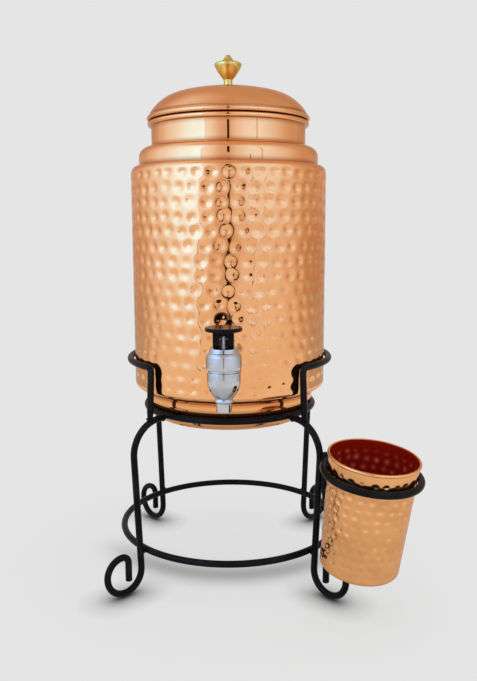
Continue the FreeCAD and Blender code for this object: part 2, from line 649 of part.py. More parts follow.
# Guard hoop: a rod round the back of the pot, open in front, with both ends turned down
# on to the two front legs.
def make_hoop():
    half = S["rod"].value / 2
    radius = S["wall_radius"].value + S["hoop_gap"].value + half
    height = S["hoop_height"].value
    bend = S["hoop_bend"].value
    bend_angle = math.degrees(bend / radius)
    foot_radius = radius + S["prong_splay"].value
    arch_across = seat_ring_radius().value + S["rod"].value
    top = S["arch_radius"].value + half
    slope = math.asin((foot_radius - arch_across) / top)
    foot_up = S["arch_centre"].value + top * math.cos(slope)
    ends = []
    for side in (-1, 1):
        outward = direction(side * FRONT_BEARING)
        corner = outward * radius + UP * height
        level = direction(side * (FRONT_BEARING + bend_angle)) * radius + UP * height
        corner_way = (corner - level).normalize()
        low = corner - UP * bend
        foot = outward * foot_radius + UP * (foot_up - S["rod"].value)
        drop = (foot - low).normalize()
        mid_arc = corner - (corner_way - drop).normalize() * bend * (math.sqrt(2) - 1)
        ends.append((level, mid_arc, low, foot))
    left, right = ends
    back = direction(180) * radius + UP * height
    edges = [
        Part.LineSegment(left[3], left[2]).toShape(),
        Part.Arc(left[2], left[1], left[0]).toShape(),
        Part.Arc(left[0], back, right[0]).toShape(),
        Part.Arc(right[0], right[1], right[2]).toShape(),
        Part.LineSegment(right[2], right[3]).toShape(),
    ]
    shape = swept_rod(edges, half)
    for side in (-1, 1):
        size = 3 * S["rod"].value
        block = Part.makeBox(size, size, size, FreeCAD.Vector(-size / 2, -size / 2, -size))
        block.rotate(FreeCAD.Vector(0, 0, 0), FreeCAD.Vector(0, 1, 0), math.degrees(slope))
        block.rotate(FreeCAD.Vector(0, 0, 0), UP, side * FRONT_BEARING - 90)
        block.translate(direction(side * FRONT_BEARING) * foot_radius + UP * foot_up)
        shape = shape.cut(block)
    hoop = doc.addObject("Part::Feature", "guard_hoop")
    hoop.Shape = shape.Solids[0]
    keep("guard_hoop", hoop)


def cup_ring_radius():
    """The ring's radius, from the tumbler's wall where the ring goes round it."""
    wall = S["cup_mouth"] - (S["cup_mouth"] - S["cup_foot"]) * S["cup_drop"] / S["cup_height"]
    return wall + S["cup_gap"] + S["rod"] / 2


def cup_frame():
    """The middle of the tumbler's ring, the tumbler's axis, and the ring's point next to the leg."""
    lean = math.radians(S["cup_lean"].value)
    outward = direction(FRONT_BEARING)
    aside = direction(S["cup_bearing"].value)
    axis = outward * math.sin(lean) + UP * math.cos(lean)
    back = (axis * aside.dot(axis) - aside).normalize() * cup_ring_radius().value
    height = S["cup_ring_height"].value + back.z
    weld = outward * leg_radius_at(height) + aside * (2 * S["rod"].value) + UP * height
    return weld - back, axis, weld


# Tumbler, leaning outwards in a ring of the same rod. A short rod beside the front leg is
# welded between the leg and the ring.
def make_tumbler():
    middle, axis, weld = cup_frame()
    tilt = FreeCAD.Rotation(UP, axis)
    holder = ring("cup_ring", cup_ring_radius())
    holder.Placement = FreeCAD.Placement(middle, tilt)

    thick = S["cup_sheet"]
    slope = (S["cup_mouth"] - S["cup_foot"]) / S["cup_height"]
    turn_wall = S["cup_foot"] + slope * S["cup_turn"]
    lip_foot = S["cup_height"] - S["cup_lip"] * 2
    lip_wall = S["cup_mouth"] - slope * S["cup_lip"] * 2
    tumbler = turned("tumbler", [
        (ZERO, ZERO),
        (S["cup_foot"] - S["cup_turn"], ZERO, S["cup_turn"], 1),
        (turn_wall, S["cup_turn"]),
        (lip_wall, lip_foot, S["cup_lip_turn"], 1),
        (S["cup_mouth"], S["cup_height"]),
        (S["cup_mouth"] - thick, S["cup_height"]),
        (turn_wall - thick, S["cup_turn"], S["cup_turn"] - thick / 2, -1),
        (S["cup_foot"] - S["cup_turn"], thick),
        (ZERO, thick),
    ])
    base = middle - axis * (S["cup_height"].value - S["cup_drop"].value)
    tumbler.Placement = FreeCAD.Placement(base, tilt)
    keep("tumbler", tumbler)

    slant = leg_radius_at(1) - leg_radius_at(0)
    along = (direction(FRONT_BEARING) * slant + UP).normalize()
    beside = weld - direction(S["cup_bearing"].value) * S["rod"].value
    foot = beside + along * (S["hanger_rise"].value - S["hanger_length"].value)
    hanger = cylinder("cup_hanger", S["rod"] / 2, S["hanger_length"])
    hanger.Placement = FreeCAD.Placement(foot, FreeCAD.Rotation(UP, along))
    keep("cup_hanger", hanger)


# Tap body: a goblet-shaped casting with its spout below and a threaded shank behind.
def make_tap_body():
    # The curved side ends upright where it meets the body's widest radius.
    inset = S["goblet_turn"] - (S["goblet_radius"] - S["goblet_neck"])
    side_up = S["goblet_foot"] + root(S["goblet_turn"] * S["goblet_turn"] - inset * inset)
    line = S["shoulder_line"]
    barrel = turned("tap_barrel", [
        (S["spout_bore"], ZERO),
        (S["spout_radius"], ZERO),
        (S["spout_radius"], S["spout_length"]),
        (S["spout_collar"], S["spout_collar_foot"]),
        (S["spout_collar"], S["spout_collar_head"]),
        (S["goblet_neck"], S["goblet_foot"], S["goblet_turn"], 1),
        (S["goblet_radius"], side_up),
        (S["goblet_radius"], line - S["joint_bevel"]),
        (S["goblet_radius"] - S["joint_depth"], line),
        (S["goblet_radius"] - S["joint_depth"], line + S["joint_line"]),
        (S["thread_radius"], line + S["joint_line"]),
        (S["thread_radius"], S["thread_top"]),
        (S["chamber_radius"], S["thread_top"]),
        (S["chamber_radius"], S["chamber_floor"]),
        (S["spout_bore"], S["chamber_floor"]),
    ])
    place_at_tap(barrel)
    shank_start = S["tap_reach"] - S["chamber_radius"]
    shank = cylinder("tap_shank", S["shank_radius"], shank_start - S["shank_end"])
    along_y(shank, shank_start, S["tap_height"])
    flange = cylinder("tap_flange", S["flange_radius"], S["flange_thickness"])
    along_y(flange, S["wall_radius"] + S["washer_thickness"] + S["flange_thickness"], S["tap_height"])
    core = cylinder("tap_chamber", S["chamber_radius"], S["thread_top"] - S["chamber_floor"])
    core.setExpression("Placement.Base.y", "-sizes.tap_reach")
    core.setExpression("Placement.Base.z", "sizes.tap_height - sizes.tip_drop + sizes.chamber_floor")
    bore = cylinder("tap_bore", S["shank_bore"], S["tap_reach"])
    along_y(bore, S["tap_reach"], S["tap_height"])
    casting = fused("tap_casting", [barrel, shank, flange])
    bored = cut("tap_bored", casting, core)
    keep("tap_body", cut("tap_body", bored, bore))


# The washers seal on the wall's curve, so each is cut to the pot's round wall.
def make_tap_seals():
    bore = S["shank_radius"] + S["hole_gap"]

    def blank(name, start, length):
        disc = cylinder(name + "_disc", S["washer_radius"], length)
        along_y(disc, start, S["tap_height"])
        eye = cylinder(name + "_eye", bore, S["wall_radius"])
        along_y(eye, S["wall_radius"] + S["washer_radius"], S["tap_height"])
        return cut(name + "_blank", disc, eye)

    def pot_round(name, radius):
        core = cylinder(name, radius, S["washer_radius"] * 4)
        core.setExpression("Placement.Base.z", "sizes.tap_height - 2 * sizes.washer_radius")
        return core

    outer = blank("outer_washer", S["wall_radius"] + S["washer_thickness"], S["washer_thickness"] * 2)
    keep("tap_outer_washer", cut("tap_outer_washer", outer, pot_round("wall_round", S["wall_radius"])))
    inner_face = S["wall_radius"] - S["sheet"]
    inner = blank("inner_washer", inner_face + S["sheet"], S["washer_thickness"] + S["sheet"])
    lens = doc.addObject("Part::Common", "tap_inner_washer")
    lens.Base = inner
    lens.Tool = pot_round("inner_round", inner_face)
    keep("tap_inner_washer", lens)

    nut = doc.addObject("Part::Prism", "lock_nut_hexagon")
    nut.Polygon = 6
    bind(nut, Circumradius=S["nut_width"] / 2 / cosine(Size(30.0, "30")), Height=S["nut_thickness"])
    along_y(nut, inner_face - S["washer_thickness"], S["tap_height"])
    thread = cylinder("lock_nut_thread", S["shank_radius"], S["wall_radius"])
    along_y(thread, S["wall_radius"], S["tap_height"])
    keep("tap_lock_nut", cut("tap_lock_nut", nut, thread))


# Bonnet: the cap screwed on the tap's body. It guides the stem and holds the spring down.
def make_bonnet():
    foot = S["shoulder_line"] + S["joint_line"]
    eye = S["stem_radius"] + S["stem_gap"]
    bonnet = turned("tap_bonnet", [
        (S["thread_radius"], foot),
        (S["bonnet_radius"] - S["joint_bevel"], foot),
        (S["bonnet_radius"], foot + S["joint_bevel"]),
        (S["bonnet_radius"], S["bonnet_edge"]),
        (S["bonnet_neck"], S["bonnet_edge"] + S["bonnet_bevel"]),
        (S["bonnet_neck"], S["bonnet_top"] - S["bonnet_round"]),
        (S["bonnet_neck"] - S["bonnet_round"], S["bonnet_top"]),
        (eye, S["bonnet_top"]),
        (eye, S["bonnet_edge"]),
        (S["chamber_radius"], S["bonnet_edge"]),
        (S["chamber_radius"], S["thread_top"]),
        (S["thread_radius"], S["thread_top"]),
    ])
    place_at_tap(bonnet)
    keep("tap_bonnet", bonnet)


# Valve: a stem with a spring collar, and the rubber cup on its lower end that closes the spout.
def make_valve():
    cup_foot = S["chamber_floor"] + S["valve_gap"]
    socket = cup_foot + S["seat_cup_floor"]
    cup_top = cup_foot + S["seat_cup_height"]
    collar = S["spring_radius"] + S["spring_wire"] / 2
    stem_top = S["pin_height"] + S["stem_end"]
    stem = turned("stem_rod", [
        (ZERO, socket),
        (S["stem_radius"], socket),
        (S["stem_radius"], cup_top),
        (collar, cup_top),
        (collar, cup_top + S["stem_collar"]),
        (S["stem_radius"], cup_top + S["stem_collar"]),
        (S["stem_radius"], stem_top - S["stem_bevel"]),
        (S["stem_radius"] - S["stem_bevel"], stem_top),
        (ZERO, stem_top),
    ])
    place_at_tap(stem)
    eye = cylinder("stem_eye", S["pin_radius"], S["fork_width"])
    lay_across(eye, S["fork_width"])
    keep("tap_stem", cut("tap_stem", stem, eye))
    cup = turned("tap_seat_cup", [
        (ZERO, cup_foot),
        (S["seat_cup_radius"], cup_foot),
        (S["seat_cup_radius"], cup_foot + S["seat_cup_edge"]),
        (S["seat_cup_radius"] - S["seat_cup_taper"], cup_top),
        (S["stem_radius"], cup_top),
        (S["stem_radius"], socket),
        (ZERO, socket),
    ])
    place_at_tap(cup)
    keep("tap_seat_cup", cup)


def lay_across(thing, length):
    """Lays a cylinder along +X through the handle's pin, centred on the tap."""
    thing.Placement.Rotation = FreeCAD.Rotation(FreeCAD.Vector(0, 1, 0), 90)
    thing.setExpression("Placement.Base.x", "-(%s) / 2" % length.text)
    thing.setExpression("Placement.Base.y", "-sizes.tap_reach")
    thing.setExpression("Placement.Base.z", "sizes.tap_height - sizes.tip_drop + sizes.pin_height")


# Spring: an open coil round the stem, between the stem's collar and the bonnet.
def make_spring():
    wire = S["spring_wire"].value
    radius = S["spring_radius"].value
    tip = S["tap_height"].value - S["tip_drop"].value
    collar = S["chamber_floor"] + S["valve_gap"] + S["seat_cup_height"] + S["stem_collar"]
    end_gap = wire / 2 + S["spring_slack"].value
    low = collar.value + end_gap
    high = S["bonnet_edge"].value - end_gap
    pitch = (high - low) / SPRING_TURNS
    axis = FreeCAD.Vector(0, -S["tap_reach"].value, tip)

    def coil_point(quarters):
        angle = quarters * math.pi / 2
        across = FreeCAD.Vector(radius * math.cos(angle), radius * math.sin(angle), 0)
        return axis + across + UP * (low + pitch * quarters / 4)

    edges = []
    for quarter in range(4 * SPRING_TURNS):
        points = [coil_point(quarter), coil_point(quarter + 0.5), coil_point(quarter + 1)]
        edges.append(Part.Arc(*points).toShape())
    start = edges[0].valueAt(edges[0].FirstParameter)
    along = edges[0].tangentAt(edges[0].FirstParameter)
    section = Part.Wire([Part.makeCircle(wire / 2, start, along)])
    spring = doc.addObject("Part::Feature", "tap_spring")
    spring.Shape = Part.Wire(edges).makePipeShell([section], True, False).Solids[0]
    keep("tap_spring", spring)
    print("spring: least gap between turns %.2f mm" % (pitch - wire))


# Handle: a thumb disc on a fork that straddles the stem. Its round heels ride on the bonnet.
def make_handle():
    disc = cylinder("handle_disc", S["disc_radius"], S["disc_thickness"])
    disc.setExpression("Placement.Base.y", "-sizes.tap_reach")
    disc.setExpression("Placement.Base.z", "sizes.tap_height - sizes.tip_drop + sizes.disc_height")
    heel_up = S["bonnet_top"] + S["fork_gap"]
    block = doc.addObject("PartDesign::Body", "handle_fork")
    side = plane_sketch(block, "YZ_Plane", "fork_side")
    half = S["fork_depth"] / 2
    heel = S["heel_radius"]
    top = S["disc_height"] + S["fork_bite"]
    outline(side, [
        (ZERO - half + heel, heel_up),
        (half - heel, heel_up, heel, 1),
        (half, heel_up + heel),
        (half, top),
        (ZERO - half, top),
        (ZERO - half, heel_up + heel, heel, 1),
    ])
    pad = block.newObject("PartDesign::Pad", "fork_pad")
    pad.Profile = side
    pad.Midplane = True
    pad.setExpression("Length", S["fork_width"].text)
    place_at_tap(block)
    slot_floor = doc.addObject("Part::Box", "fork_slot_box")
    slot_top = S["pin_height"] + S["fork_slot_rise"]
    bind(slot_floor, Length=S["fork_slot"], Width=S["fork_depth"] * 2, Height=slot_top)
    slot_floor.setExpression("Placement.Base.x", "-sizes.fork_slot / 2")
    slot_floor.setExpression("Placement.Base.y", "-sizes.tap_reach - sizes.fork_depth")
    slot_floor.setExpression("Placement.Base.z", "sizes.tap_height - sizes.tip_drop")
    slot_arch = cylinder("fork_slot_arch", S["fork_slot"] / 2, S["fork_depth"] * 2)
    along_y(slot_arch, S["tap_reach"] + S["fork_depth"], S["tap_height"] - S["tip_drop"] + slot_top)
    eye = cylinder("fork_eye", S["pin_radius"] + S["stem_gap"], S["fork_width"] * 2)
    lay_across(eye, S["fork_width"] * 2)
    handle = fused("handle_blank", [disc, block])
    opening = fused("handle_opening", [slot_floor, slot_arch, eye])
    keep("tap_handle", cut("tap_handle", handle, opening))
    pin_length = S["fork_width"] - S["pin_recess"] * 2
    pin = cylinder("tap_handle_pin", S["pin_radius"], pin_length)
    lay_across(pin, pin_length)
    keep("tap_handle_pin", pin)


make_vessel()
make_lid()
seat = ring("seat_ring", seat_ring_radius())
seat.setExpression("Placement.Base.z", "sizes.seat_height")
lower = ring("base_ring", S["base_ring_radius"])
lower.setExpression("Placement.Base.z", "sizes.base_ring_height")
for label, bearing in LEG_BEARINGS.items():
    make_leg(label, bearing)
make_hoop()
make_tumbler()
make_tap_body()
make_tap_seals()
make_bonnet()
make_valve()
make_spring()
make_handle()
doc.recompute()

for thing in doc.Objects:
    if "Invalid" in thing.State or "Error" in thing.State:
        raise RuntimeError("%s did not build: %s" % (thing.Label, thing.State))
for label, piece in pieces.items():
    shape = piece.Shape
    if shape.isNull() or not shape.isValid() or not shape.Solids:
        raise RuntimeError("%s has no valid solid" % label)
os.makedirs("parts", exist_ok=True)
for label, piece in pieces.items():
    piece.Shape.exportStep("parts/%s.step" % label)
    box = piece.Shape.BoundBox
    print("%-18s %9.1f mm3  x %.1f..%.1f  y %.1f..%.1f  z %.1f..%.1f  solids %d" % (
        label, piece.Shape.Volume, box.XMin, box.XMax, box.YMin, box.YMax, box.ZMin, box.ZMax,
        len(piece.Shape.Solids)))
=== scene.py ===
import math
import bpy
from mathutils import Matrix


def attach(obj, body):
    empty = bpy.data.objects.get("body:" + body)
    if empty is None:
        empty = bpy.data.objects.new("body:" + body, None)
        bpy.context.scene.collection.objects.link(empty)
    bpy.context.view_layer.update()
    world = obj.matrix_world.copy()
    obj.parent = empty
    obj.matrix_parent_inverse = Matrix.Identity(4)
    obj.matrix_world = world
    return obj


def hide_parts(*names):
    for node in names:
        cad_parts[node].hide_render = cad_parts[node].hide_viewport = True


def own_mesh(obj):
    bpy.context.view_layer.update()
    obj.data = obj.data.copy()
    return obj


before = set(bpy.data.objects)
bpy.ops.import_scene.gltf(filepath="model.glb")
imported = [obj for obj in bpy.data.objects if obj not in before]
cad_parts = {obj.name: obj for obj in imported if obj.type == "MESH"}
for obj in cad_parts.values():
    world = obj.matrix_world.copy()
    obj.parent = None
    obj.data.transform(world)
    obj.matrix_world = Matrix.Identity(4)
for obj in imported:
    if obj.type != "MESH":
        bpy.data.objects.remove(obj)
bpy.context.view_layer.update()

from types import SimpleNamespace

import bmesh
import bpy
from bpy.props import FloatProperty, FloatVectorProperty, IntProperty, PointerProperty
from mathutils import Matrix, Vector

bl_info = {
    "name": "Copper Water Dispenser",
    "version": (1, 0, 0),
    "blender": (4, 5, 0),
    "location": "3D View > Sidebar > Dispenser",
    "description": "A hammered copper pot with a tap, on a bent-rod stand with a tumbler",
    "category": "Object",
}

MM = 0.001
UP = Vector((0, 0, 1))
ROUND = 2 * math.pi
ON_AXIS = 1e-7
LEG_BEARING = math.radians(45)
FINISHES = {}


# Sizes and colours

def length(name, description, default):
    return FloatProperty(name=name, description=description, default=default * MM, unit="LENGTH",
                         subtype="DISTANCE", precision=4)


def slope(name, description, degrees):
    return FloatProperty(name=name, description=description, default=math.radians(degrees), subtype="ANGLE")


def colour(name, description, default):
    return FloatVectorProperty(name=name, description=description, default=default, size=3, min=0.0,
                               max=1.0, subtype="COLOR")


class PotSizes(bpy.types.PropertyGroup):
    wall: length("Wall", "Outside radius of the hammered wall", 90.0)
    wall_foot: length("Wall Foot", "Height of the wall's lower edge", 176.4)
    wall_head: length("Wall Head", "Height where the wall starts to turn in", 371.5)
    wall_turn: length("Wall Turn", "Radius of the turn from the wall to the shoulder", 7.0)
    sheet: length("Sheet", "Thickness of the copper", 1.0)
    step: length("Step", "How far the wall's stepped foot reaches below its lower edge", 5.4)
    step_width: length("Step Width", "How far the stepped foot stands out from the band", 2.0)
    step_turn: length("Step Turn", "Radius of the turn from the wall to the stepped foot", 4.2)
    seam: length("Seam", "Width of the seam between the wall and the band", 0.4)
    lap: length("Lap", "How far the shoulder reaches down inside the wall", 4.0)
    shoulder: length("Shoulder", "Outside radius of the plain shoulder", 82.5)
    shoulder_head: length("Shoulder Head", "Height where the shoulder turns in", 386.0)
    shoulder_turn: length("Shoulder Turn", "Radius of the turn on top of the shoulder", 9.0)
    neck: length("Neck", "Outside radius of the neck", 70.7)
    rim: length("Rim", "Height of the top of the rolled rim", 418.0)
    roll: length("Rim Roll", "Radius of the rolled rim's section", 2.2)
    base: length("Base", "Outside radius of the base pan's band", 79.5)
    band_foot: length("Band Foot", "Height of the band's lower edge", 165.0)
    floor: length("Floor", "Height of the underside of the pot", 145.4)
    floor_turn: length("Floor Turn", "Radius of the turn from the pan's side to its floor", 8.0)
    dish: length("Dish", "How far in from its edge the pot's floor is raised", 22.0)
    taper: slope("Base Taper", "Slope of the base pan's side from upright", 24.0)


class LidSizes(bpy.types.PropertyGroup):
    gap: length("Gap", "Gap between the pot's rim and the lid", 0.3)
    radius: length("Radius", "Outside radius of the lid's rolled edge", 74.6)
    edge: length("Edge", "Radius of the lid's rolled edge", 2.4)
    rise: length("Rise", "Height of the dome over the pot's rim", 30.8)
    dome: length("Dome", "Large radius of the dome", 182.6)
    reach: length("Dome Reach", "How far out the large radius runs", 50.0)
    turn: length("Dome Turn", "Radius of the dome's shoulder", 39.3)
    hole: length("Screw Hole", "Radius of the hole for the knob's screw", 2.8)
    collar_gap: length("Collar Gap", "Gap between the collar and the neck", 0.4)
    collar_depth: length("Collar Depth", "How far the collar reaches into the neck", 13.0)
    knob_height: length("Knob Height", "Height of the knob over the dome", 29.0)
    knob_rim: length("Knob Rim", "Radius of the knob's rim", 12.3)


class HammerMarks(bpy.types.PropertyGroup):
    pitch: length("Pitch", "Distance between dimples round the wall", 13.3)
    row: length("Row", "Distance between rows of dimples", 12.2)
    depth: length("Depth", "Depth of a dimple", 1.45)
    size: length("Size", "Radius of a dimple", 6.2)
    stray: length("Stray", "How far a dimple strays from its place", 1.3)
    bare: length("Bare Place", "Radius of the plain place round the tap", 13.0)
    seed: IntProperty(name="Seed", description="Seed of the dimples' places", default=7)
    cup_pitch: length("Tumbler Pitch", "Distance between dimples round the tumbler", 9.4)
    cup_row: length("Tumbler Row", "Distance between rows of dimples on the tumbler", 7.7)
    cup_depth: length("Tumbler Depth", "Depth of a dimple on the tumbler", 0.88)
    cup_size: length("Tumbler Size", "Radius of a dimple on the tumbler", 4.3)
    cup_stray: length("Tumbler Stray", "How far a dimple on the tumbler strays from its place", 1.0)


class StandSizes(bpy.types.PropertyGroup):
    rod: length("Rod", "Diameter of the rod", 6.0)
    seat: length("Seat Ring", "Radius of the seat ring, to the rod's middle", 79.24)
    seat_height: length("Seat Height", "Height of the seat ring", 156.3)
    lower: length("Lower Ring", "Radius of the lower ring, to the rod's middle", 104.3)
    lower_height: length("Lower Height", "Height of the lower ring", 37.2)
    arch: length("Arch", "Radius of the bend at the top of a leg", 29.4)
    arch_height: length("Arch Height", "Height of that bend's centre", 125.0)
    foot: length("Foot", "Radius of the bend that a leg stands on", 18.0)
    scroll: length("Scroll", "Radius of the scroll's outer turn", 15.4)
    curl: length("Curl", "Radius of the scroll's inner turn", 6.8)
    curl_end: length("Curl End", "Height of the scroll's cut end", 13.0)
    ease: length("Eased Edge", "Length of the eased edge on a rod's cut end", 0.6)
    hoop: length("Hoop", "Radius of the guard hoop, to the rod's middle", 94.3)
    hoop_height: length("Hoop Height", "Height of the guard hoop", 201.3)
    hoop_bend: length("Hoop Bend", "Radius of the hoop's two bends", 5.0)
    splay: length("Splay", "How far a prong leans out on its way down", 2.0)
    hanger: length("Hanger", "Length of the rod that carries the tumbler's ring", 33.0)
    hanger_rise: length("Hanger Rise", "How far that rod stands over the ring's middle", 3.5)
    bead: length("Weld Bead", "Radius of a bead of weld", 3.55)
    lumps: length("Bead Lumps", "Height of the lumps in a bead of weld", 0.5)


class TumblerSizes(bpy.types.PropertyGroup):
    height: length("Height", "Height of the tumbler", 101.0)
    mouth: length("Mouth", "Outside radius at the mouth", 37.5)
    foot: length("Foot", "Outside radius at the foot", 33.4)
    sheet: length("Sheet", "Thickness of the tumbler's wall", 1.0)
    turn: length("Turn", "Radius of the lower corner", 4.0)
    lip: length("Lip", "Radius of the rolled lip", 1.15)
    drop: length("Drop", "Distance from the lip down to the ring", 15.7)
    ring: length("Ring", "Radius of the tumbler's ring, to the rod's middle", 40.16)
    ring_height: length("Ring Height", "Height of the middle of the ring", 121.9)
    lean: slope("Lean", "Lean of the tumbler", 7.8)
    bearing: slope("Bearing", "Bearing from the leg to the middle of the ring", 50.5)


class TapSizes(bpy.types.PropertyGroup):
    reach: length("Reach", "Distance from the pot's axis to the tap's axis", 122.0)
    tip: length("Tip", "Height of the tip of the spout", 176.0)
    shank_rise: length("Shank Rise", "Height of the shank over the tip", 26.6)
    body: length("Body", "Widest radius of the tap's body", 13.6)
    bonnet: length("Bonnet", "Outside radius of the bonnet", 14.4)
    disc: length("Thumb Disc", "Radius of the thumb disc", 15.0)
    disc_rise: length("Disc Rise", "Height of the disc's underside over the tip", 65.6)
    disc_thickness: length("Disc Thickness", "Thickness of the thumb disc", 3.2)
    pin_rise: length("Pin Rise", "Height of the handle's pin over the tip", 59.5)
    heel_rise: length("Heel Rise", "Height of the fork's heels over the tip", 52.6)
    fork: length("Fork", "Half the depth of the fork, from front to back", 7.5)
    slot: length("Slot", "Half the width of the slot between the fork's cheeks", 3.0)
    cheek: length("Cheek", "Thickness of a cheek of the fork", 5.4)
    lift: length("Valve Lift", "How far the stem rises when the tap is open", 1.885)


class FinishColours(bpy.types.PropertyGroup):
    copper: colour("Copper", "Polished copper", (0.92, 0.46, 0.20))
    copper_deep: colour("Deep Copper", "Copper where the polish has gone darker", (0.84, 0.37, 0.13))
    copper_worn: colour("Worn Copper", "The redder copper of the base pan", (0.89, 0.40, 0.15))
    copper_pale: colour("Pale Copper", "The tumbler's copper", (1.0, 0.49, 0.20))
    brass: colour("Brass", "The knob's brass", (0.74, 0.575, 0.165))
    brass_deep: colour("Deep Brass", "Brass where the polish has gone darker", (0.62, 0.38, 0.09))
    chrome: colour("Chrome", "The tap's plating", (0.57, 0.58, 0.60))
    chrome_deep: colour("Deep Chrome", "The plating's clouded places", (0.42, 0.43, 0.47))
    steel: colour("Steel", "The tap's stem, pin and spring", (0.60, 0.60, 0.61))
    coating: colour("Coating", "The stand's powder coat", (0.004, 0.004, 0.0045))
    plastic: colour("Plastic", "The tap's handle", (0.004, 0.003, 0.003))
    rubber: colour("Rubber", "The tap's washers", (0.02, 0.02, 0.021))
    backdrop: colour("Backdrop", "Floor and background", (0.784, 0.784, 0.784))


class DispenserSettings(bpy.types.PropertyGroup):
    pot: PointerProperty(type=PotSizes)
    lid: PointerProperty(type=LidSizes)
    hammer: PointerProperty(type=HammerMarks)
    stand: PointerProperty(type=StandSizes)
    tumbler: PointerProperty(type=TumblerSizes)
    tap: PointerProperty(type=TapSizes)
    colours: PointerProperty(type=FinishColours)


def settings():
    return bpy.context.scene.water_dispenser


# Outlines and turned pieces

def mm(*points):
    """Points of an outline that are given in millimetres."""
    return [tuple(value * MM for value in point) for point in points]


def rounded(corners, angle_step=9.0):
    """Points of an outline whose corners, (across, up, radius), are rounded where a radius is given."""
    points = []
    for index, corner in enumerate(corners):
        here = Vector(corner[:2])
        radius = corner[2] if len(corner) > 2 else 0.0
        if not radius:
            points.append(tuple(here))
            continue
        before = (Vector(corners[index - 1][:2]) - here).normalized()
        after = (Vector(corners[(index + 1) % len(corners)][:2]) - here).normalized()
        half = before.angle(after) / 2
        back = radius / math.tan(half)
        centre = here + (before + after).normalized() * (radius / math.sin(half))
        start = here + before * back - centre
        end = here + after * back - centre
        sweep = math.atan2(start.x * end.y - start.y * end.x, start.dot(end))
        steps = max(2, math.ceil(abs(math.degrees(sweep)) / angle_step))
        points += bend(centre, radius, math.atan2(start.y, start.x), sweep, steps)
    return points


def bend(centre, radius, start, sweep, steps):
    """Points round a centre, from one angle through a sweep."""
    return [(centre.x + radius * math.cos(start + sweep * step / steps),
             centre.y + radius * math.sin(start + sweep * step / steps)) for step in range(steps + 1)]


def arc(start, end, radius, side, steps):
    """Points after start up to end on an arc; side is 1 where its centre lies left of the chord."""
    first, last = Vector(start), Vector(end)
    chord = last - first
    half = chord.length / 2
    normal = Vector((-chord.y, chord.x)).normalized() * side
    centre = (first + last) / 2 + normal * math.sqrt(max(radius * radius - half * half, 0.0))
    turn = math.atan2(first.y - centre.y, first.x - centre.x)
    return bend(centre, radius, turn, 2 * math.asin(min(1.0, half / radius)) * side, steps)[1:]


def divided(points, step):
    """The same outline with its long straight runs divided."""
    result = []
    for point, following in zip(points, points[1:]):
        result.append(point)
        count = int(math.dist(point, following) // step)
        for part in range(1, count + 1):
            mix = part / (count + 1)
            result.append((point[0] + (following[0] - point[0]) * mix,
                           point[1] + (following[1] - point[1]) * mix))
    return result + [points[-1]]


def past_rim(outline):
    """The number of an outline's first point after its highest one, where the inside starts."""
    heights = [up for across, up in outline]
    return len(heights) - heights[::-1].index(max(heights))


def circle(centre, axis, radius, count):
    """Points of a circle round an axis."""
    across = axis.orthogonal().normalized()
    other = axis.cross(across)
    return [centre + (across * math.cos(ROUND * k / count) + other * math.sin(ROUND * k / count)) * radius
            for k in range(count)]


def bearing(angle):
    """The level direction of a bearing, counted from the tap's side towards +X."""
    return Vector((math.sin(angle), -math.cos(angle), 0))


def mesh_of(shape, name):
    """The mesh of a bmesh, which is then freed."""
    mesh = bpy.data.meshes.new(name)
    shape.to_mesh(mesh)
    shape.free()
    return mesh


def turned_mesh(name, outline, segments, closed=True, inner_from=None):
    """A mesh turned about Z. The outline runs from axis to axis, or is closed where it keeps off it.
    Points of the outline from inner_from on are marked as the inside."""
    shape = bmesh.new()
    inside = None if inner_from is None else shape.verts.layers.float.new("inside")
    rings = []
    for index, (across, up) in enumerate(outline):
        if across < ON_AXIS:
            ring = [shape.verts.new((0, 0, up))]
        else:
            ring = [shape.verts.new((across * math.cos(ROUND * k / segments),
                                     across * math.sin(ROUND * k / segments), up)) for k in range(segments)]
        if inside is not None and index >= inner_from:
            for corner in ring:
                corner[inside] = 1.0
        rings.append(ring)
    pairs = list(zip(rings, rings[1:]))
    if closed and len(rings[0]) > 1:
        pairs.append((rings[-1], rings[0]))
    for low, high in pairs:
        for k in range(segments):
            following = (k + 1) % segments
            corners = [low[k % len(low)], low[following % len(low)],
                       high[following % len(high)], high[k % len(high)]]
            corners = list(dict.fromkeys(corners))
            if len(corners) > 2:
                shape.faces.new(corners)
    bmesh.ops.recalc_face_normals(shape, faces=shape.faces)
    return mesh_of(shape, name)


def slab(outline, low, high, along_x):
    """A plate cut to an outline of (across, up), from low to high along the X or the Y axis."""
    shape = bmesh.new()
    rings = [[shape.verts.new((depth, across, up) if along_x else (across, depth, up))
              for across, up in outline] for depth in (low, high)]
    for k in range(len(outline)):
        following = (k + 1) % len(outline)
        shape.faces.new((rings[0][k], rings[0][following], rings[1][following], rings[1][k]))
    for ring in rings:
        shape.faces.new(ring)
    bmesh.ops.recalc_face_normals(shape, faces=shape.faces)
    return shape


def merged_copy(name, node):
    """A copy of a node's mesh with its loose triangles joined up."""
    shape = bmesh.new()
    shape.from_mesh(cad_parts[node].data)
    bmesh.ops.remove_doubles(shape, verts=shape.verts, dist=0.001 * MM)
    mesh = mesh_of(shape, name)
    if "custom_normal" in mesh.attributes:
        mesh.attributes.remove(mesh.attributes["custom_normal"])
    return mesh


def joined(name, meshes):
    """One mesh from several."""
    shape = bmesh.new()
    for mesh in meshes:
        shape.from_mesh(mesh)
        bpy.data.meshes.remove(mesh)
    return mesh_of(shape, name)


def moved(mesh, matrix):
    mesh.transform(matrix)
    mesh.update()
    return mesh


def linked(name, data):
    """A new object in the scene."""
    made = bpy.data.objects.new(name, data)
    bpy.context.scene.collection.objects.link(made)
    return made


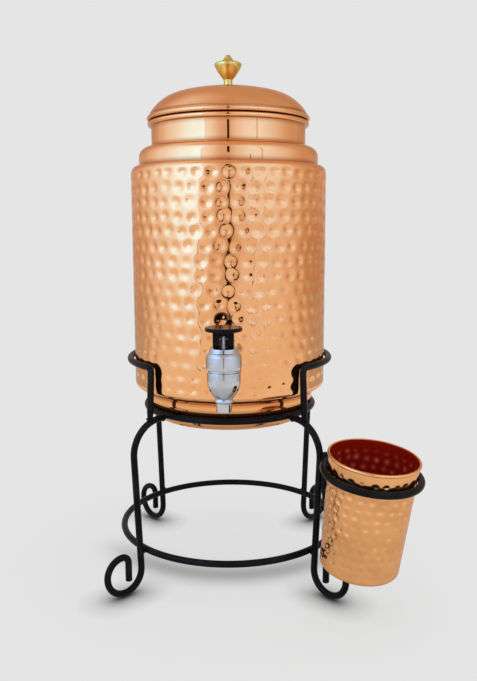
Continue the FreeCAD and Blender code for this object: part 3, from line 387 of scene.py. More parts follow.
def place(name, mesh, body, slot, replaces=(), angle=38.0, material=None):
    """Puts a mesh in the scene as a piece that rides on a body. Its edges are sharp past the angle.
    A mesh that has no material yet gets the named one, or its slot's."""
    mesh.shade_smooth()
    mesh.set_sharp_from_angle(angle=math.radians(angle))
    if not mesh.materials:
        mesh.materials.append(finish(material or slot))
    piece = linked(name, mesh)
    if replaces:
        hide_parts(*replaces)
    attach(piece, body)
    return piece


# Node trees

GEOMETRY = "geometry"
SOCKET_KINDS = {int: "NodeSocketInt", float: "NodeSocketFloat", tuple: "NodeSocketVector",
                str: "NodeSocketGeometry", type(None): "NodeSocketMaterial"}


class Wiring:
    """Short ways to add nodes to a tree and link them."""

    def __init__(self, tree):
        self.tree = tree

    def node(self, kind, settings=None, **values):
        made = self.tree.nodes.new(kind)
        for key, value in (settings or {}).items():
            setattr(made, key, value)
        for key, value in values.items():
            self.set(made.inputs[key.replace("_", " ")], value)
        return made

    def set(self, socket, value):
        """Links a socket or a node's first output to a socket, or gives the socket a value."""
        if isinstance(value, bpy.types.NodeSocket):
            self.tree.links.new(value, socket)
        elif isinstance(value, bpy.types.Node):
            self.tree.links.new(value.outputs[0], socket)
        elif socket.type == "RGBA":
            socket.default_value = (*value, 1.0)[:4]
        else:
            socket.default_value = value

    def filled(self, kind, settings, values):
        """A node whose inputs, given by their numbers, are filled."""
        made = self.node(kind, settings)
        for number, value in values.items():
            self.set(made.inputs[number], value)
        return made

    def math(self, operation, *values):
        return self.filled("ShaderNodeMath", {"operation": operation}, dict(enumerate(values))).outputs[0]

    def product(self, first, *others):
        for other in others:
            first = self.math("MULTIPLY", first, other)
        return first

    def bell(self, value, middle, width):
        """A bell curve that is 1 where the value is at the middle."""
        off = self.math("DIVIDE", self.math("SUBTRACT", value, middle), width)
        return self.math("EXPONENT", self.product(off, off, -1.0))

    def vector(self, operation, *values):
        made = self.filled("ShaderNodeVectorMath", {"operation": operation}, dict(enumerate(values)))
        return made.outputs["Value" if operation in {"LENGTH", "DISTANCE"} else "Vector"]

    def scaled(self, vector, factor):
        return self.filled("ShaderNodeVectorMath", {"operation": "SCALE"}, {0: vector, 3: factor}).outputs[0]

    def combine(self, x, y, z):
        return self.filled("ShaderNodeCombineXYZ", {}, {0: x, 1: y, 2: z}).outputs[0]

    def ramp(self, value, low, high, start=0.0, end=1.0, kind="SMOOTHSTEP"):
        """Runs from start to end as the value runs from low to high."""
        return self.filled("ShaderNodeMapRange", {"interpolation_type": kind},
                           {0: value, 1: low, 2: high, 3: start, 4: end}).outputs[0]

    def between(self, share, low, high):
        """Runs straight from low to high as a share runs from 0 to 1."""
        return self.ramp(share, 0.0, 1.0, low, high, "LINEAR")

    def mixed(self, share, first, second):
        """A blend of two colours."""
        sockets = {0: share, 6: first, 7: second}
        return self.filled("ShaderNodeMix", {"data_type": "RGBA"}, sockets).outputs[2]

    def blended(self, share, first, second):
        """A blend of two values."""
        sockets = {0: share, 2: first, 3: second}
        return self.filled("ShaderNodeMix", {"data_type": "FLOAT"}, sockets).outputs[0]

    def named(self, label, kind="FLOAT"):
        """A geometry attribute by its name."""
        made = self.node("GeometryNodeInputNamedAttribute", {"data_type": kind}, Name=label)
        return made.outputs[0]

    def painted(self, geometry, material):
        """The end of a geometry tree: plain geometry with its material."""
        realized = self.node("GeometryNodeRealizeInstances", Geometry=geometry)
        return self.node("GeometryNodeSetMaterial", Geometry=realized, Material=material)


def new_group(name, kind, inputs, outputs):
    """A node group, its wiring, and the sockets of its named inputs and outputs."""
    group = bpy.data.node_groups.new(name, kind)
    for way, sockets in (("INPUT", inputs), ("OUTPUT", outputs)):
        for label, default in sockets.items():
            socket = group.interface.new_socket(label, in_out=way, socket_type=SOCKET_KINDS[type(default)])
            if isinstance(default, (int, float, tuple)):
                socket.default_value = default
    start = group.nodes.new("NodeGroupInput")
    end = group.nodes.new("NodeGroupOutput")
    return group, Wiring(group), start.outputs, end.inputs


def group_named(name, build):
    """A node group by its name, built the first time it is asked for."""
    return bpy.data.node_groups.get(name) or build(name)


BLOW_LEAST, BLOW_MOST = 0.55, 1.1
SPREAD_LEAST, SPREAD_MOST = 0.82, 1.08
STAGGER = 0.3
MIDDLE_SHARPNESS = 2.8
BARE_EDGE = 1.5


def hammered_tree(name):
    """Beats rows of round dimples into a turned shell, each a little off its place and depth."""
    tree, w, entry, end = new_group(name, "GeometryNodeTree", {
        "Geometry": GEOMETRY, "Rows": 14, "Per Row": 39, "Foot": 0.0, "Row Height": 0.0125,
        "Foot Radius": 0.09, "Taper": 0.0, "Depth": 0.0007, "Size": 0.007, "Stray": 0.001, "Fade": 0.006,
        "Low": 0.0, "High": 1.0, "Foot Share": 0.7, "Crispness": 1.4, "Punch": 0.4, "Row Drift": 0.35,
        "Skin": 0.01, "Bare Place": (0.0, 0.0, -1.0), "Bare Reach": 0.001, "Seed": 1, "Material": None,
    }, {"Geometry": GEOMETRY})

    def chance(low, high, offset, identity=None):
        made = w.filled("FunctionNodeRandomValue", {"data_type": "FLOAT"}, {2: low, 3: high})
        w.set(made.inputs["Seed"], w.math("ADD", entry["Seed"], float(offset)))
        if identity is not None:
            w.set(made.inputs["ID"], identity)
        return made.outputs[1]

    def skin_at(height):
        return w.math("MULTIPLY_ADD", w.math("SUBTRACT", height, entry["Foot"]), entry["Taper"],
                      entry["Foot Radius"])

    def stored(geometry, label, value):
        made = w.node("GeometryNodeStoreNamedAttribute", {"data_type": "FLOAT", "domain": "POINT"},
                      Geometry=geometry, Name=label, Value=value)
        return made.outputs[0]

    # A point for every dimple, in staggered rows.
    index = w.node("GeometryNodeInputIndex")
    row = w.math("FLOOR", w.math("DIVIDE", index, entry["Per Row"]))
    column = w.math("MODULO", index, entry["Per Row"])
    shift = w.math("MULTIPLY_ADD", chance(-1.0, 1.0, 0, row), entry["Row Drift"],
                   w.product(w.math("MODULO", row, 2.0), STAGGER))
    up = w.math("MULTIPLY_ADD", w.math("ADD", row, 0.5), entry["Row Height"], entry["Foot"])
    up = w.math("MULTIPLY_ADD", chance(-1.0, 1.0, 1), entry["Stray"], up)
    radius = skin_at(up)
    turn = w.math("DIVIDE", w.product(w.math("ADD", column, shift), ROUND), entry["Per Row"])
    turn = w.math("ADD", turn, w.math("DIVIDE", w.product(chance(-1.0, 1.0, 2), entry["Stray"]), radius))
    spot = w.combine(w.product(radius, w.math("COSINE", turn)), w.product(radius, w.math("SINE", turn)), up)
    dots = w.node("GeometryNodePoints", Count=w.product(entry["Rows"], entry["Per Row"]), Position=spot)
    dots = stored(dots, "blow", chance(BLOW_LEAST, BLOW_MOST, 3))
    dots = stored(dots, "spread", chance(SPREAD_LEAST, SPREAD_MOST, 4))

    # For every point of the shell, the dimple that lies nearest.
    apart = w.node("ShaderNodeSeparateXYZ", Vector=w.node("GeometryNodeInputPosition")).outputs
    height = apart[2]
    level_place = w.combine(apart[0], apart[1], 0.0)
    outward = w.vector("NORMALIZE", level_place)
    skin = skin_at(height)
    on_skin = w.vector("ADD", w.scaled(outward, skin), w.combine(0.0, 0.0, height))
    nearest = w.node("GeometryNodeSampleNearest", {"domain": "POINT"}, Geometry=dots,
                     Sample_Position=on_skin)

    def sampled(kind, value):
        return w.node("GeometryNodeSampleIndex", {"data_type": kind, "domain": "POINT"}, Geometry=dots,
                      Value=value, Index=nearest).outputs[0]

    centre = sampled("FLOAT_VECTOR", w.node("GeometryNodeInputPosition"))
    blow = sampled("FLOAT", w.named("blow"))
    spread = w.product(sampled("FLOAT", w.named("spread")), entry["Size"])
    away = w.math("DIVIDE", w.vector("DISTANCE", on_skin, centre), spread)
    inside = w.math("MAXIMUM", w.math("SUBTRACT", 1.0, w.product(away, away)), 0.0)
    # A dimple is a wide bowl with a deeper middle, where the round of the hammer struck.
    wide = w.math("POWER", inside, entry["Crispness"])
    middle = w.math("POWER", inside, w.product(entry["Crispness"], MIDDLE_SHARPNESS))
    bowl = w.blended(entry["Punch"], wide, middle)

    # The dimples fade out at the edges and round the bare place, and weaken towards the foot.
    from_low = w.ramp(height, entry["Low"], w.math("ADD", entry["Low"], entry["Fade"]))
    to_high = w.ramp(height, entry["High"], w.math("SUBTRACT", entry["High"], entry["Fade"]))
    softer = w.ramp(height, entry["Low"], entry["High"], entry["Foot Share"])
    bare = w.ramp(w.vector("DISTANCE", on_skin, entry["Bare Place"]), entry["Bare Reach"],
                  w.product(entry["Bare Reach"], BARE_EDGE))
    near_skin = w.math("GREATER_THAN", w.vector("LENGTH", level_place),
                       w.math("SUBTRACT", skin, entry["Skin"]))
    level = w.product(from_low, to_high, bowl, blow, softer, bare, near_skin)
    marked = stored(entry["Geometry"], "dent", level)
    dented = w.node("GeometryNodeSetPosition", Geometry=marked,
                    Offset=w.scaled(outward, w.product(level, entry["Depth"], -1.0)))
    w.set(end["Geometry"], w.painted(dented, entry["Material"]))
    return tree


def bent_rod_tree(name):
    """Sweeps a round rod along a route, with its cut ends eased."""
    tree, w, entry, end = new_group(name, "GeometryNodeTree", {
        "Geometry": GEOMETRY, "Rod Radius": 0.003, "Ease": 0.0006, "Sides": 24, "Material": None,
    }, {"Geometry": GEOMETRY})
    route = w.node("GeometryNodeMeshToCurve", Mesh=entry["Geometry"])
    along = w.node("GeometryNodeSplineParameter").outputs["Length"]
    span = w.node("GeometryNodeSplineLength").outputs["Length"]
    from_end = w.math("MINIMUM", along, w.math("SUBTRACT", span, along))
    short = w.math("MAXIMUM", w.math("SUBTRACT", entry["Ease"], from_end), 0.0)
    has_ends = w.math("SUBTRACT", 1.0, w.node("GeometryNodeInputSplineCyclic"))
    loss = w.math("DIVIDE", w.product(short, has_ends), entry["Rod Radius"])
    section = w.node("GeometryNodeCurvePrimitiveCircle", {"mode": "RADIUS"}, Resolution=entry["Sides"],
                     Radius=entry["Rod Radius"])
    swept = w.node("GeometryNodeCurveToMesh", Curve=route, Profile_Curve=section, Fill_Caps=True,
                   Scale=w.math("SUBTRACT", 1.0, loss))
    shaded = w.node("GeometryNodeSetShadeSmooth", Geometry=swept)
    w.set(end["Geometry"], w.painted(shaded, entry["Material"]))
    return tree


def weld_tree(name):
    """Sets a small lumpy bead of weld on every point, along the point's own direction."""
    tree, w, entry, end = new_group(name, "GeometryNodeTree", {
        "Geometry": GEOMETRY, "Bead Radius": 0.0036, "Lumps": 0.0006, "Lump Scale": 420.0, "Material": None,
    }, {"Geometry": GEOMETRY})
    ball = w.node("GeometryNodeMeshIcoSphere", Radius=entry["Bead Radius"], Subdivisions=4)
    points = w.node("GeometryNodeMeshToPoints", Mesh=entry["Geometry"])
    facing = w.node("FunctionNodeAlignRotationToVector", {"axis": "Z"},
                    Vector=w.named("along", "FLOAT_VECTOR"))
    beads = w.node("GeometryNodeInstanceOnPoints", Points=points, Instance=ball, Rotation=facing,
                   Scale=w.named("stretch", "FLOAT_VECTOR"))
    loose = w.node("GeometryNodeRealizeInstances", Geometry=beads)
    noise = w.node("ShaderNodeTexNoise", {"noise_dimensions": "3D"}, Scale=entry["Lump Scale"], Detail=1.0,
                   Vector=w.node("GeometryNodeInputPosition"))
    rise = w.product(w.between(noise, -1.0, 1.0), entry["Lumps"])
    lumpy = w.node("GeometryNodeSetPosition", Geometry=loose,
                   Offset=w.scaled(w.node("GeometryNodeInputNormal"), rise))
    shaded = w.node("GeometryNodeSetShadeSmooth", Geometry=lumpy)
    w.set(end["Geometry"], w.painted(shaded, entry["Material"]))
    return tree


def grown(name, tree, mesh, **inputs):
    """The mesh that a tree makes from another mesh and the given inputs."""
    carrier = linked(name + "_form", mesh)
    modifier = carrier.modifiers.new(tree.name, "NODES")
    modifier.node_group = tree
    sockets = {item.name: item.identifier for item in tree.interface.items_tree
               if item.item_type == "SOCKET" and item.in_out == "INPUT"}
    for label, value in inputs.items():
        modifier[sockets[label.replace("_", " ")]] = value
    graph = bpy.context.evaluated_depsgraph_get()
    result = bpy.data.meshes.new_from_object(carrier.evaluated_get(graph))
    result.name = name
    bpy.data.objects.remove(carrier)
    bpy.data.meshes.remove(mesh)
    if not len(result.polygons):
        raise RuntimeError("%s came out empty" % name)
    return result


def route_mesh(points, cyclic=False):
    """A line of points joined by edges, for a rod to follow."""
    mesh = bpy.data.meshes.new("route")
    edges = [(k, k + 1) for k in range(len(points) - 1)]
    if cyclic:
        edges.append((len(points) - 1, 0))
    mesh.from_pydata([tuple(point) for point in points], edges, [])
    return mesh


# Finishes

# Where in a noise the clouds of tarnish and the dust begin, and where they are full.
CLOUDED = (0.35, 0.72)
DUSTED = (0.45, 0.75)
TARNISH_SHARE = 0.55
DUST_SHARE = 0.5
RUB_POWER = 1.6
RUB_GAIN = 2.4
SCRATCH_STRENGTH = 0.025
SCRATCH_DEPTH = 0.02 * MM
EDGE_TINT = (0.88, 0.80, 0.76)
# The colour of the painted shade in creases, how far it reaches, and how strongly it darkens.
CREASE_SHADE = (0.20, 0.045, 0.012)
CREASE_REACH = 4 * MM
CREASE_POWER = 2.0
INNER_METALLIC = 0.55
# The insides' colours: in the pot a darker tarnish with painted shade, in the tumbler a deep red painted in
# for light that bounces inside it. The bright colour is a painted highlight on the dimples.
POT_INSIDE = {"dark": (0.50, 0.17, 0.07), "bright": (0.86, 0.38, 0.18), "dullness": 0.35}
TUMBLER_INSIDE = {"dark": (0.40, 0.016, 0.006), "bright": (1.0, 0.26, 0.14), "dullness": 0.0}


def handled_group(name):
    """Marks of use on polished metal: cloudy tarnish, wiping marks and hair scratches."""
    group, w, start, end = new_group(name, "ShaderNodeTree", {
        "Vector": (0.0, 0.0, 0.0), "Cloud Scale": 22.0, "Wiping Scale": 35.0, "Scratch Scale": 900.0,
    }, {"Tarnish": 0.0, "Wiping": 0.0, "Scratches": 0.0})
    clouds = w.node("ShaderNodeTexNoise", Vector=start["Vector"], Scale=start["Cloud Scale"], Detail=5.0,
                    Roughness=0.6, Distortion=0.6)
    wiped = w.node("ShaderNodeMapping", Vector=start["Vector"], Scale=(1.0, 1.0, 6.0),
                   Rotation=(0.3, 0.15, 0.0))
    wiping = w.node("ShaderNodeTexNoise", Vector=wiped, Scale=start["Wiping Scale"], Detail=4.0,
                    Roughness=0.65)
    drawn = w.node("ShaderNodeMapping", Vector=start["Vector"], Scale=(1.0, 1.0, 0.04),
                   Rotation=(1.2, 0.5, 0.2))
    w.set(end["Tarnish"], w.ramp(clouds, *CLOUDED))
    w.set(end["Wiping"], wiping)
    w.set(end["Scratches"],
          w.node("ShaderNodeTexNoise", Vector=drawn, Scale=start["Scratch Scale"], Detail=2.0))
    return group


def grain_group(name):
    """The fine pebble of a powder coat or a moulded skin, with a few worn or dusty places."""
    group, w, start, end = new_group(name, "ShaderNodeTree", {
        "Vector": (0.0, 0.0, 0.0), "Pebble Scale": 900.0, "Dust Scale": 40.0,
    }, {"Height": 0.0, "Dust": 0.0})
    dust = w.node("ShaderNodeTexNoise", Vector=start["Vector"], Scale=start["Dust Scale"], Detail=6.0,
                  Roughness=0.7)
    w.set(end["Height"],
          w.node("ShaderNodeTexNoise", Vector=start["Vector"], Scale=start["Pebble Scale"], Detail=2.0))
    w.set(end["Dust"], w.ramp(dust, *DUSTED))
    return group


def dent_highlight_group(name):
    """A tarnish rubbed bright where a dimple stands in, which paints a highlight on the dimple's bump."""
    group, w, start, end = new_group(name, "ShaderNodeTree", {
        "Vector": (0.0, 0.0, 0.0), "Dent": 0.0, "Patch Scale": 60.0,
    }, {"Rubbed": 0.0})
    patches = w.node("ShaderNodeTexNoise", Vector=start["Vector"], Scale=start["Patch Scale"], Detail=3.0)
    rubbed = w.product(w.math("POWER", start["Dent"], RUB_POWER), patches.outputs[0], RUB_GAIN)
    w.set(end["Rubbed"], w.math("MINIMUM", rubbed, 1.0))
    return group


def grouped(w, name, build, **values):
    """The outputs of a shared shader group that is placed in a material with its own values."""
    return w.node("ShaderNodeGroup", {"node_tree": group_named(name, build)}, **values).outputs


def blank_material(name):
    """An empty material, its wiring, and the socket for its surface."""
    material = bpy.data.materials.new(name)
    material.use_nodes = True
    material.node_tree.nodes.clear()
    w = Wiring(material.node_tree)
    return material, w, w.node("ShaderNodeOutputMaterial").inputs["Surface"]


def dressed_material(name, shade):
    """A material with a Principled shader, whose sockets it gives, and its object coordinates."""
    material, w, surface = blank_material(name)
    material.diffuse_color = (*shade, 1.0)
    shader = w.node("ShaderNodeBsdfPrincipled")
    w.set(surface, shader)
    return material, w, shader.inputs, w.node("ShaderNodeTexCoord").outputs["Object"]


def tarnished_shaded_inside(w, place_on, tone, rough, metallic, dark, bright, dullness):
    """The same colour, roughness and metallic value, changed on faces marked as inside to a tarnish
    with painted shade, and bright at the dimples with a painted highlight.
    """
    inside = w.node("ShaderNodeAttribute", {"attribute_name": "inside"}).outputs["Fac"]
    dent = w.node("ShaderNodeAttribute", {"attribute_name": "dent"}).outputs["Fac"]
    rubbed = grouped(w, "Rubbed Tarnish", dent_highlight_group, Vector=place_on, Dent=dent)["Rubbed"]
    return (w.mixed(inside, tone, w.mixed(rubbed, dark, bright)),
            w.math("MAXIMUM", rough, w.product(inside, dullness)),
            w.between(inside, metallic, INNER_METALLIC))


def metal(name, shade, deep, rough, ripple, ripple_scale, clouds=22.0, film=0.0, shaded_creases=False, inside=None):
    """Polished metal with cloudy tarnish, wiping marks, soft waves and fine scratches, and with painted
    shade in its creases where asked. The film is a dull one that scatters a little light."""
    material, w, sockets, place_on = dressed_material(name, shade)
    marks = grouped(w, "Handled Metal", handled_group, Vector=place_on, Cloud_Scale=clouds)
    tone = w.mixed(w.product(marks["Tarnish"], TARNISH_SHARE), shade, deep)
    if shaded_creases:
        # Tarnish gathers in the creases that a polishing cloth can't reach.
        # Painted shade: the colour darkens in creases and narrow gaps, where shade falls.
        reach = w.node("ShaderNodeAmbientOcclusion", {"samples": 8}, Distance=CREASE_REACH)
        tone = w.mixed(w.math("POWER", reach.outputs["AO"], CREASE_POWER), CREASE_SHADE, tone)
    roughness = w.between(w.product(marks["Wiping"], marks["Tarnish"]), *rough)
    metallic = 1.0 - film
    if inside:
        tone, roughness, metallic = tarnished_shaded_inside(w, place_on, tone, roughness, metallic, **inside)
    w.set(sockets["Base Color"], tone)
    w.set(sockets["Specular Tint"], EDGE_TINT)
    w.set(sockets["Metallic"], metallic)
    w.set(sockets["Roughness"], roughness)
    scratches = w.node("ShaderNodeBump", Strength=SCRATCH_STRENGTH, Distance=SCRATCH_DEPTH,
                       Height=marks["Scratches"])
    waves = w.node("ShaderNodeTexNoise", Vector=place_on, Scale=ripple_scale, Detail=1.0)
    w.set(sockets["Normal"],
          w.node("ShaderNodeBump", Strength=1.0, Distance=ripple, Height=waves, Normal=scratches))
    return material


def coated(name, shade, dusty, rough, pebble, pebble_scale, specular=0.5):
    """A powder coat, a moulded skin or rubber: a fine pebble with a little dust."""
    material, w, sockets, place_on = dressed_material(name, shade)
    grain = grouped(w, "Fine Pebble", grain_group, Vector=place_on, Pebble_Scale=pebble_scale)
    w.set(sockets["Base Color"], w.mixed(w.product(grain["Dust"], DUST_SHARE), shade, dusty))
    w.set(sockets["Roughness"], w.between(grain["Dust"], *rough))
    w.set(sockets["Specular IOR Level"], specular)
    w.set(sockets["Normal"],
          w.node("ShaderNodeBump", Strength=0.6, Distance=pebble, Height=grain["Height"]))
    return material


# Each metal's colour, its darker colour as a share of a named one, and its surface.
METALS = {
    "hammered_copper": dict(shade="copper", deep=("copper_deep", 1.0), rough=(0.05, 0.17),
                            ripple=0.04 * MM, ripple_scale=170.0, inside=POT_INSIDE),
    "polished_copper": dict(shade="copper", deep=("copper_deep", 1.0), rough=(0.03, 0.09),
                            ripple=0.03 * MM, ripple_scale=45.0, shaded_creases=True, inside=POT_INSIDE),
    "pan_copper": dict(shade="copper_worn", deep=("copper_deep", 1.0), rough=(0.04, 0.18),
                       ripple=0.05 * MM, ripple_scale=60.0, clouds=30.0, film=0.06, shaded_creases=True,
                       inside=POT_INSIDE),
    "tumbler_copper": dict(shade="copper_pale", deep=("copper_deep", 0.85), rough=(0.1, 0.24),
                           ripple=0.2 * MM, ripple_scale=120.0, clouds=40.0, inside=TUMBLER_INSIDE),
    "polished_brass": dict(shade="brass", deep=("brass_deep", 1.0), rough=(0.08, 0.24),
                           ripple=0.03 * MM, ripple_scale=120.0, clouds=70.0),
    "chrome": dict(shade="chrome", deep=("chrome_deep", 1.0), rough=(0.04, 0.16),
                   ripple=0.05 * MM, ripple_scale=150.0, clouds=80.0),
    "steel": dict(shade="steel", deep=("steel", 0.7), rough=(0.48, 0.65),
                  ripple=0.02 * MM, ripple_scale=300.0, clouds=90.0),
}
# Each coat's colour, the colour of its dust, and its surface.
COATS = {
    "black_rod": dict(shade="coating", dusty=(0.02, 0.02, 0.02), rough=(0.32, 0.5),
                      pebble=0.04 * MM, pebble_scale=1300.0, specular=0.08),
    "black_plastic": dict(shade="plastic", dusty=(0.010, 0.008, 0.007), rough=(0.12, 0.24),
                          pebble=0.01 * MM, pebble_scale=700.0, specular=0.1),
    "rubber": dict(shade="rubber", dusty=(0.06, 0.06, 0.06), rough=(0.55, 0.75),
                   pebble=0.03 * MM, pebble_scale=900.0),
}


def finish(name):
    """A finish by its name, made the first time it is asked for."""
    if name not in FINISHES:
        values = dict(METALS.get(name) or COATS[name])
        shades = settings().colours
        values["shade"] = tuple(getattr(shades, values["shade"]))
        if name in METALS:
            darker, share = values["deep"]
            values["deep"] = tuple(value * share for value in getattr(shades, darker))
        FINISHES[name] = metal(name, **values) if name in METALS else coated(name, **values)
    return FINISHES[name]


# The pot

class MakeWall(bpy.types.Operator):
    """Turn the pot's wall and beat the rows of dimples into it"""
    bl_idname = "dispenser.make_wall"
    bl_label = "Hammered Wall"

    def execute(self, context):
        pot, hammer, tap = settings().pot, settings().hammer, settings().tap
        skin = pot.sheet
        step = pot.base + pot.step_width
        step_foot = pot.wall_foot - pot.step
        head = pot.wall_head + pot.wall_turn
        outside = rounded([
            (pot.base, step_foot),
            (step, step_foot),
            (pot.wall, pot.wall_foot + pot.seam, pot.step_turn),
            (pot.wall, head, pot.wall_turn),
            (pot.shoulder, head),
        ], 10.0)
        inside = rounded([
            (pot.shoulder, head - skin),
            (pot.wall - skin, head - skin, pot.wall_turn - skin),
            (pot.wall - skin, pot.wall_foot + skin, pot.step_turn - skin),
            (step, step_foot + skin),
            (pot.base, step_foot + skin),
        ], 18.0)
        outline = divided(outside, 1.4 * MM) + divided(inside, 4.5 * MM)
        shell = turned_mesh("wall", outline, segments=400, inner_from=past_rim(outline))
        mesh = grown("hammered_wall", group_named("Hammered Shell", hammered_tree), shell,
                     Rows=round((pot.wall_head - pot.wall_foot) / hammer.row),
                     Per_Row=round(ROUND * pot.wall / hammer.pitch), Row_Height=hammer.row,
                     Foot=pot.wall_foot + 3 * MM, Foot_Radius=pot.wall,
                     Depth=hammer.depth, Size=hammer.size, Stray=hammer.stray, Seed=hammer.seed,
                     Low=pot.wall_foot + 2 * MM, High=pot.wall_head + pot.wall_turn / 2, Fade=7 * MM,
                     Foot_Share=0.62, Bare_Place=(0.0, -pot.wall, tap.tip + tap.shank_rise),
                     Bare_Reach=hammer.bare, Material=finish("hammered_copper"))
        place("hammered_wall", mesh, "vessel", "hammered_copper", ["vessel_wall"], 60.0)
        return {"FINISHED"}


class MakeShoulder(bpy.types.Operator):
    """Turn the plain shoulder, the neck and its rolled rim"""
    bl_idname = "dispenser.make_shoulder"
    bl_label = "Shoulder and Neck"

    def execute(self, context):
        pot = settings().pot
        skin = pot.sheet
        shelf = pot.shoulder_head + pot.shoulder_turn
        foot = pot.wall_head + pot.wall_turn - pot.lap
        lip = pot.rim - 2 * pot.roll
        lip_turn = pot.roll * 0.96
        outer = pot.neck + 1.5 * pot.roll
        outline = divided(rounded([
            (pot.shoulder - skin, foot),
            (pot.shoulder, foot),
            (pot.shoulder, shelf, pot.shoulder_turn),
            (pot.neck, shelf, 1.6 * MM),
            (pot.neck, lip, 0.7 * MM),
            (outer, lip, lip_turn),
            (outer, pot.rim, lip_turn),
            (pot.neck - skin, pot.rim, 0.8 * MM),
            (pot.neck - skin, shelf - skin, 2.4 * MM),
            (pot.shoulder - skin, shelf - skin, pot.shoulder_turn - skin),
        ], 7.0), 6 * MM)
        mesh = turned_mesh("shoulder_and_neck", outline, segments=256, inner_from=past_rim(outline))
        place("shoulder_and_neck", mesh, "vessel", "polished_copper", ["vessel_shoulder"])
        return {"FINISHED"}


class MakeBasePan(bpy.types.Operator):
    """Turn the base pan that sits in the seat ring"""
    bl_idname = "dispenser.make_base_pan"
    bl_label = "Base Pan"

    def execute(self, context):
        pot = settings().pot
        skin = pot.sheet
        head = pot.wall_foot - pot.seam
        foot = pot.base - (pot.band_foot - pot.floor) * math.tan(pot.taper)
        middle_rise, dish_rise = 0.3 * MM, 0.25 * MM
        outline = divided(rounded([
            (0.0, pot.floor + middle_rise),
            (foot - pot.dish, pot.floor + dish_rise),
            (foot, pot.floor, pot.floor_turn),
            (pot.base, pot.band_foot, 5.0 * MM),
            (pot.base, head),
            (pot.base - skin, head),
            (pot.base - skin, pot.band_foot, 4.0 * MM),
            (foot - skin, pot.floor + skin, pot.floor_turn - skin),
            (foot - pot.dish, pot.floor + skin + dish_rise),
            (0.0, pot.floor + skin + middle_rise),
        ], 7.0), 8 * MM)
        mesh = turned_mesh("base_pan", outline, segments=256, inner_from=past_rim(outline))
        place("base_pan", mesh, "vessel", "polished_copper", ["vessel_base"], material="pan_copper")
        return {"FINISHED"}


# The lid

def over_centre(radius, across):
    """How far a circle's top stands over its centre, at a distance from its middle."""
    return math.sqrt(radius ** 2 - across ** 2)


class MakeLid(bpy.types.Operator):
    """Turn the lid's dome with its rolled edge, and the collar below it"""
    bl_idname = "dispenser.make_lid"
    bl_label = "Lid"

    def execute(self, context):
        pot, lid = settings().pot, settings().lid
        skin = pot.sheet
        bottom = pot.rim + lid.gap
        centre = bottom + lid.rise - lid.dome
        reach_up = over_centre(lid.dome, lid.reach)
        # The shoulder's arc meets the dome's without a corner, so its centre is on the dome's radius.
        ratio = (lid.dome - lid.turn) / lid.dome
        turn_across, turn_up = lid.reach * ratio, centre + reach_up * ratio
        edge_across = lid.radius - lid.edge / 2
        edge_top = bottom + 2 * lid.edge
        # The dome ends at the brow of a narrow groove that runs round over the rolled edge.
        groove_turn = 0.4 * MM
        brow = (edge_across - 1.4 * MM,
                turn_up + over_centre(lid.turn, edge_across - turn_across) + 1.1 * MM)
        collar = pot.neck - skin - lid.collar_gap
        apex_ring = (lid.hole, centre + over_centre(lid.dome, lid.hole))
        bend_start = (lid.reach, centre + reach_up)
        outside = [apex_ring] + arc(apex_ring, bend_start, lid.dome, -1, 26)
        outside += arc(bend_start, brow, lid.turn, -1, 16)
        edge = rounded([
            brow,
            (edge_across - 1.9 * MM, edge_top + 0.4 * MM, groove_turn),
            (edge_across - 1.7 * MM, edge_top - 0.3 * MM, groove_turn),
            (edge_across + lid.edge / 2, edge_top, lid.edge * 0.9),
            (edge_across + lid.edge / 2, bottom, lid.edge * 0.95),
            (collar, bottom),
        ], 12.0)
        small, inner = lid.turn - skin, lid.dome - skin
        collar_top = (collar, turn_up + over_centre(small, collar - turn_across))
        scale = inner / lid.dome
        inner_bend = (lid.reach * scale, centre + reach_up * scale)
        inner_ring = (lid.hole, centre + over_centre(inner, lid.hole))
        inside = [collar_top] + arc(collar_top, inner_bend, small, 1, 8)
        inside += arc(inner_bend, inner_ring, inner, 1, 10)
        mesh = turned_mesh("lid_top", outside + edge[1:] + inside, segments=256)
        place("lid_top", mesh, "lid", "polished_copper", ["lid_dome"])

        collar_foot, collar_head = bottom - lid.collar_depth, bottom + lid.edge
        cut_turn = 0.4 * MM
        ring = rounded([
            (collar - skin, collar_foot, cut_turn),
            (collar, collar_foot, cut_turn),
            (collar, collar_head),
            (collar - skin, collar_head),
        ], 20.0)
        mesh = turned_mesh("lid_inner_collar", divided(ring, 4 * MM), segments=192)
        place("lid_inner_collar", mesh, "lid", "polished_copper", ["lid_collar"])
        return {"FINISHED"}


class MakeKnob(bpy.types.Operator):
    """Turn the brass knob with its pointed finial"""
    bl_idname = "dispenser.make_knob"
    bl_label = "Knob"

    def execute(self, context):
        pot, lid = settings().pot, settings().lid
        foot = pot.rim + lid.gap + lid.rise - 0.02 * MM
        # The profile is drawn for a knob 29 mm high with a rim of 12.3 mm, and scaled to its sizes.
        tall, wide = lid.knob_height / 29.0, lid.knob_rim / 12.3

        def at(radius, rise, *turn):
            return (radius * wide, foot + rise * tall) + tuple(value * MM for value in turn)

        waist, rim_low = at(3.9, 6.9), at(12.3, 19.2)
        cap, neck, tip = at(7.2, 22.4), at(2.8, 27.0), at(0.0, 29.0)
        outline = [(0.0, foot)]
        outline += rounded([at(2.5, 0.0), at(5.4, 0.0, 0.3), at(5.4, 1.2, 0.4), at(3.9, 2.6, 0.8),
                            waist], 15.0)
        outline += arc(waist, rim_low, 40.0 * wide, 1, 16)
        outline += rounded([rim_low, at(12.5, 20.9, 1.1), at(9.8, 22.2, 1.4), cap], 15.0)[1:]
        outline += arc(cap, neck, 14.0 * wide, -1, 8)
        outline += arc(neck, tip, 2.96 * wide, 1, 7)[:-1] + [tip]
        place("knob", turned_mesh("knob", outline, segments=96), "lid", "polished_brass", ["lid_knob"])
        return {"FINISHED"}


# The stand

LEGS = {"leg_front_left": -LEG_BEARING, "leg_front_right": LEG_BEARING,
        "leg_rear_left": -3 * LEG_BEARING, "leg_rear_right": 3 * LEG_BEARING}


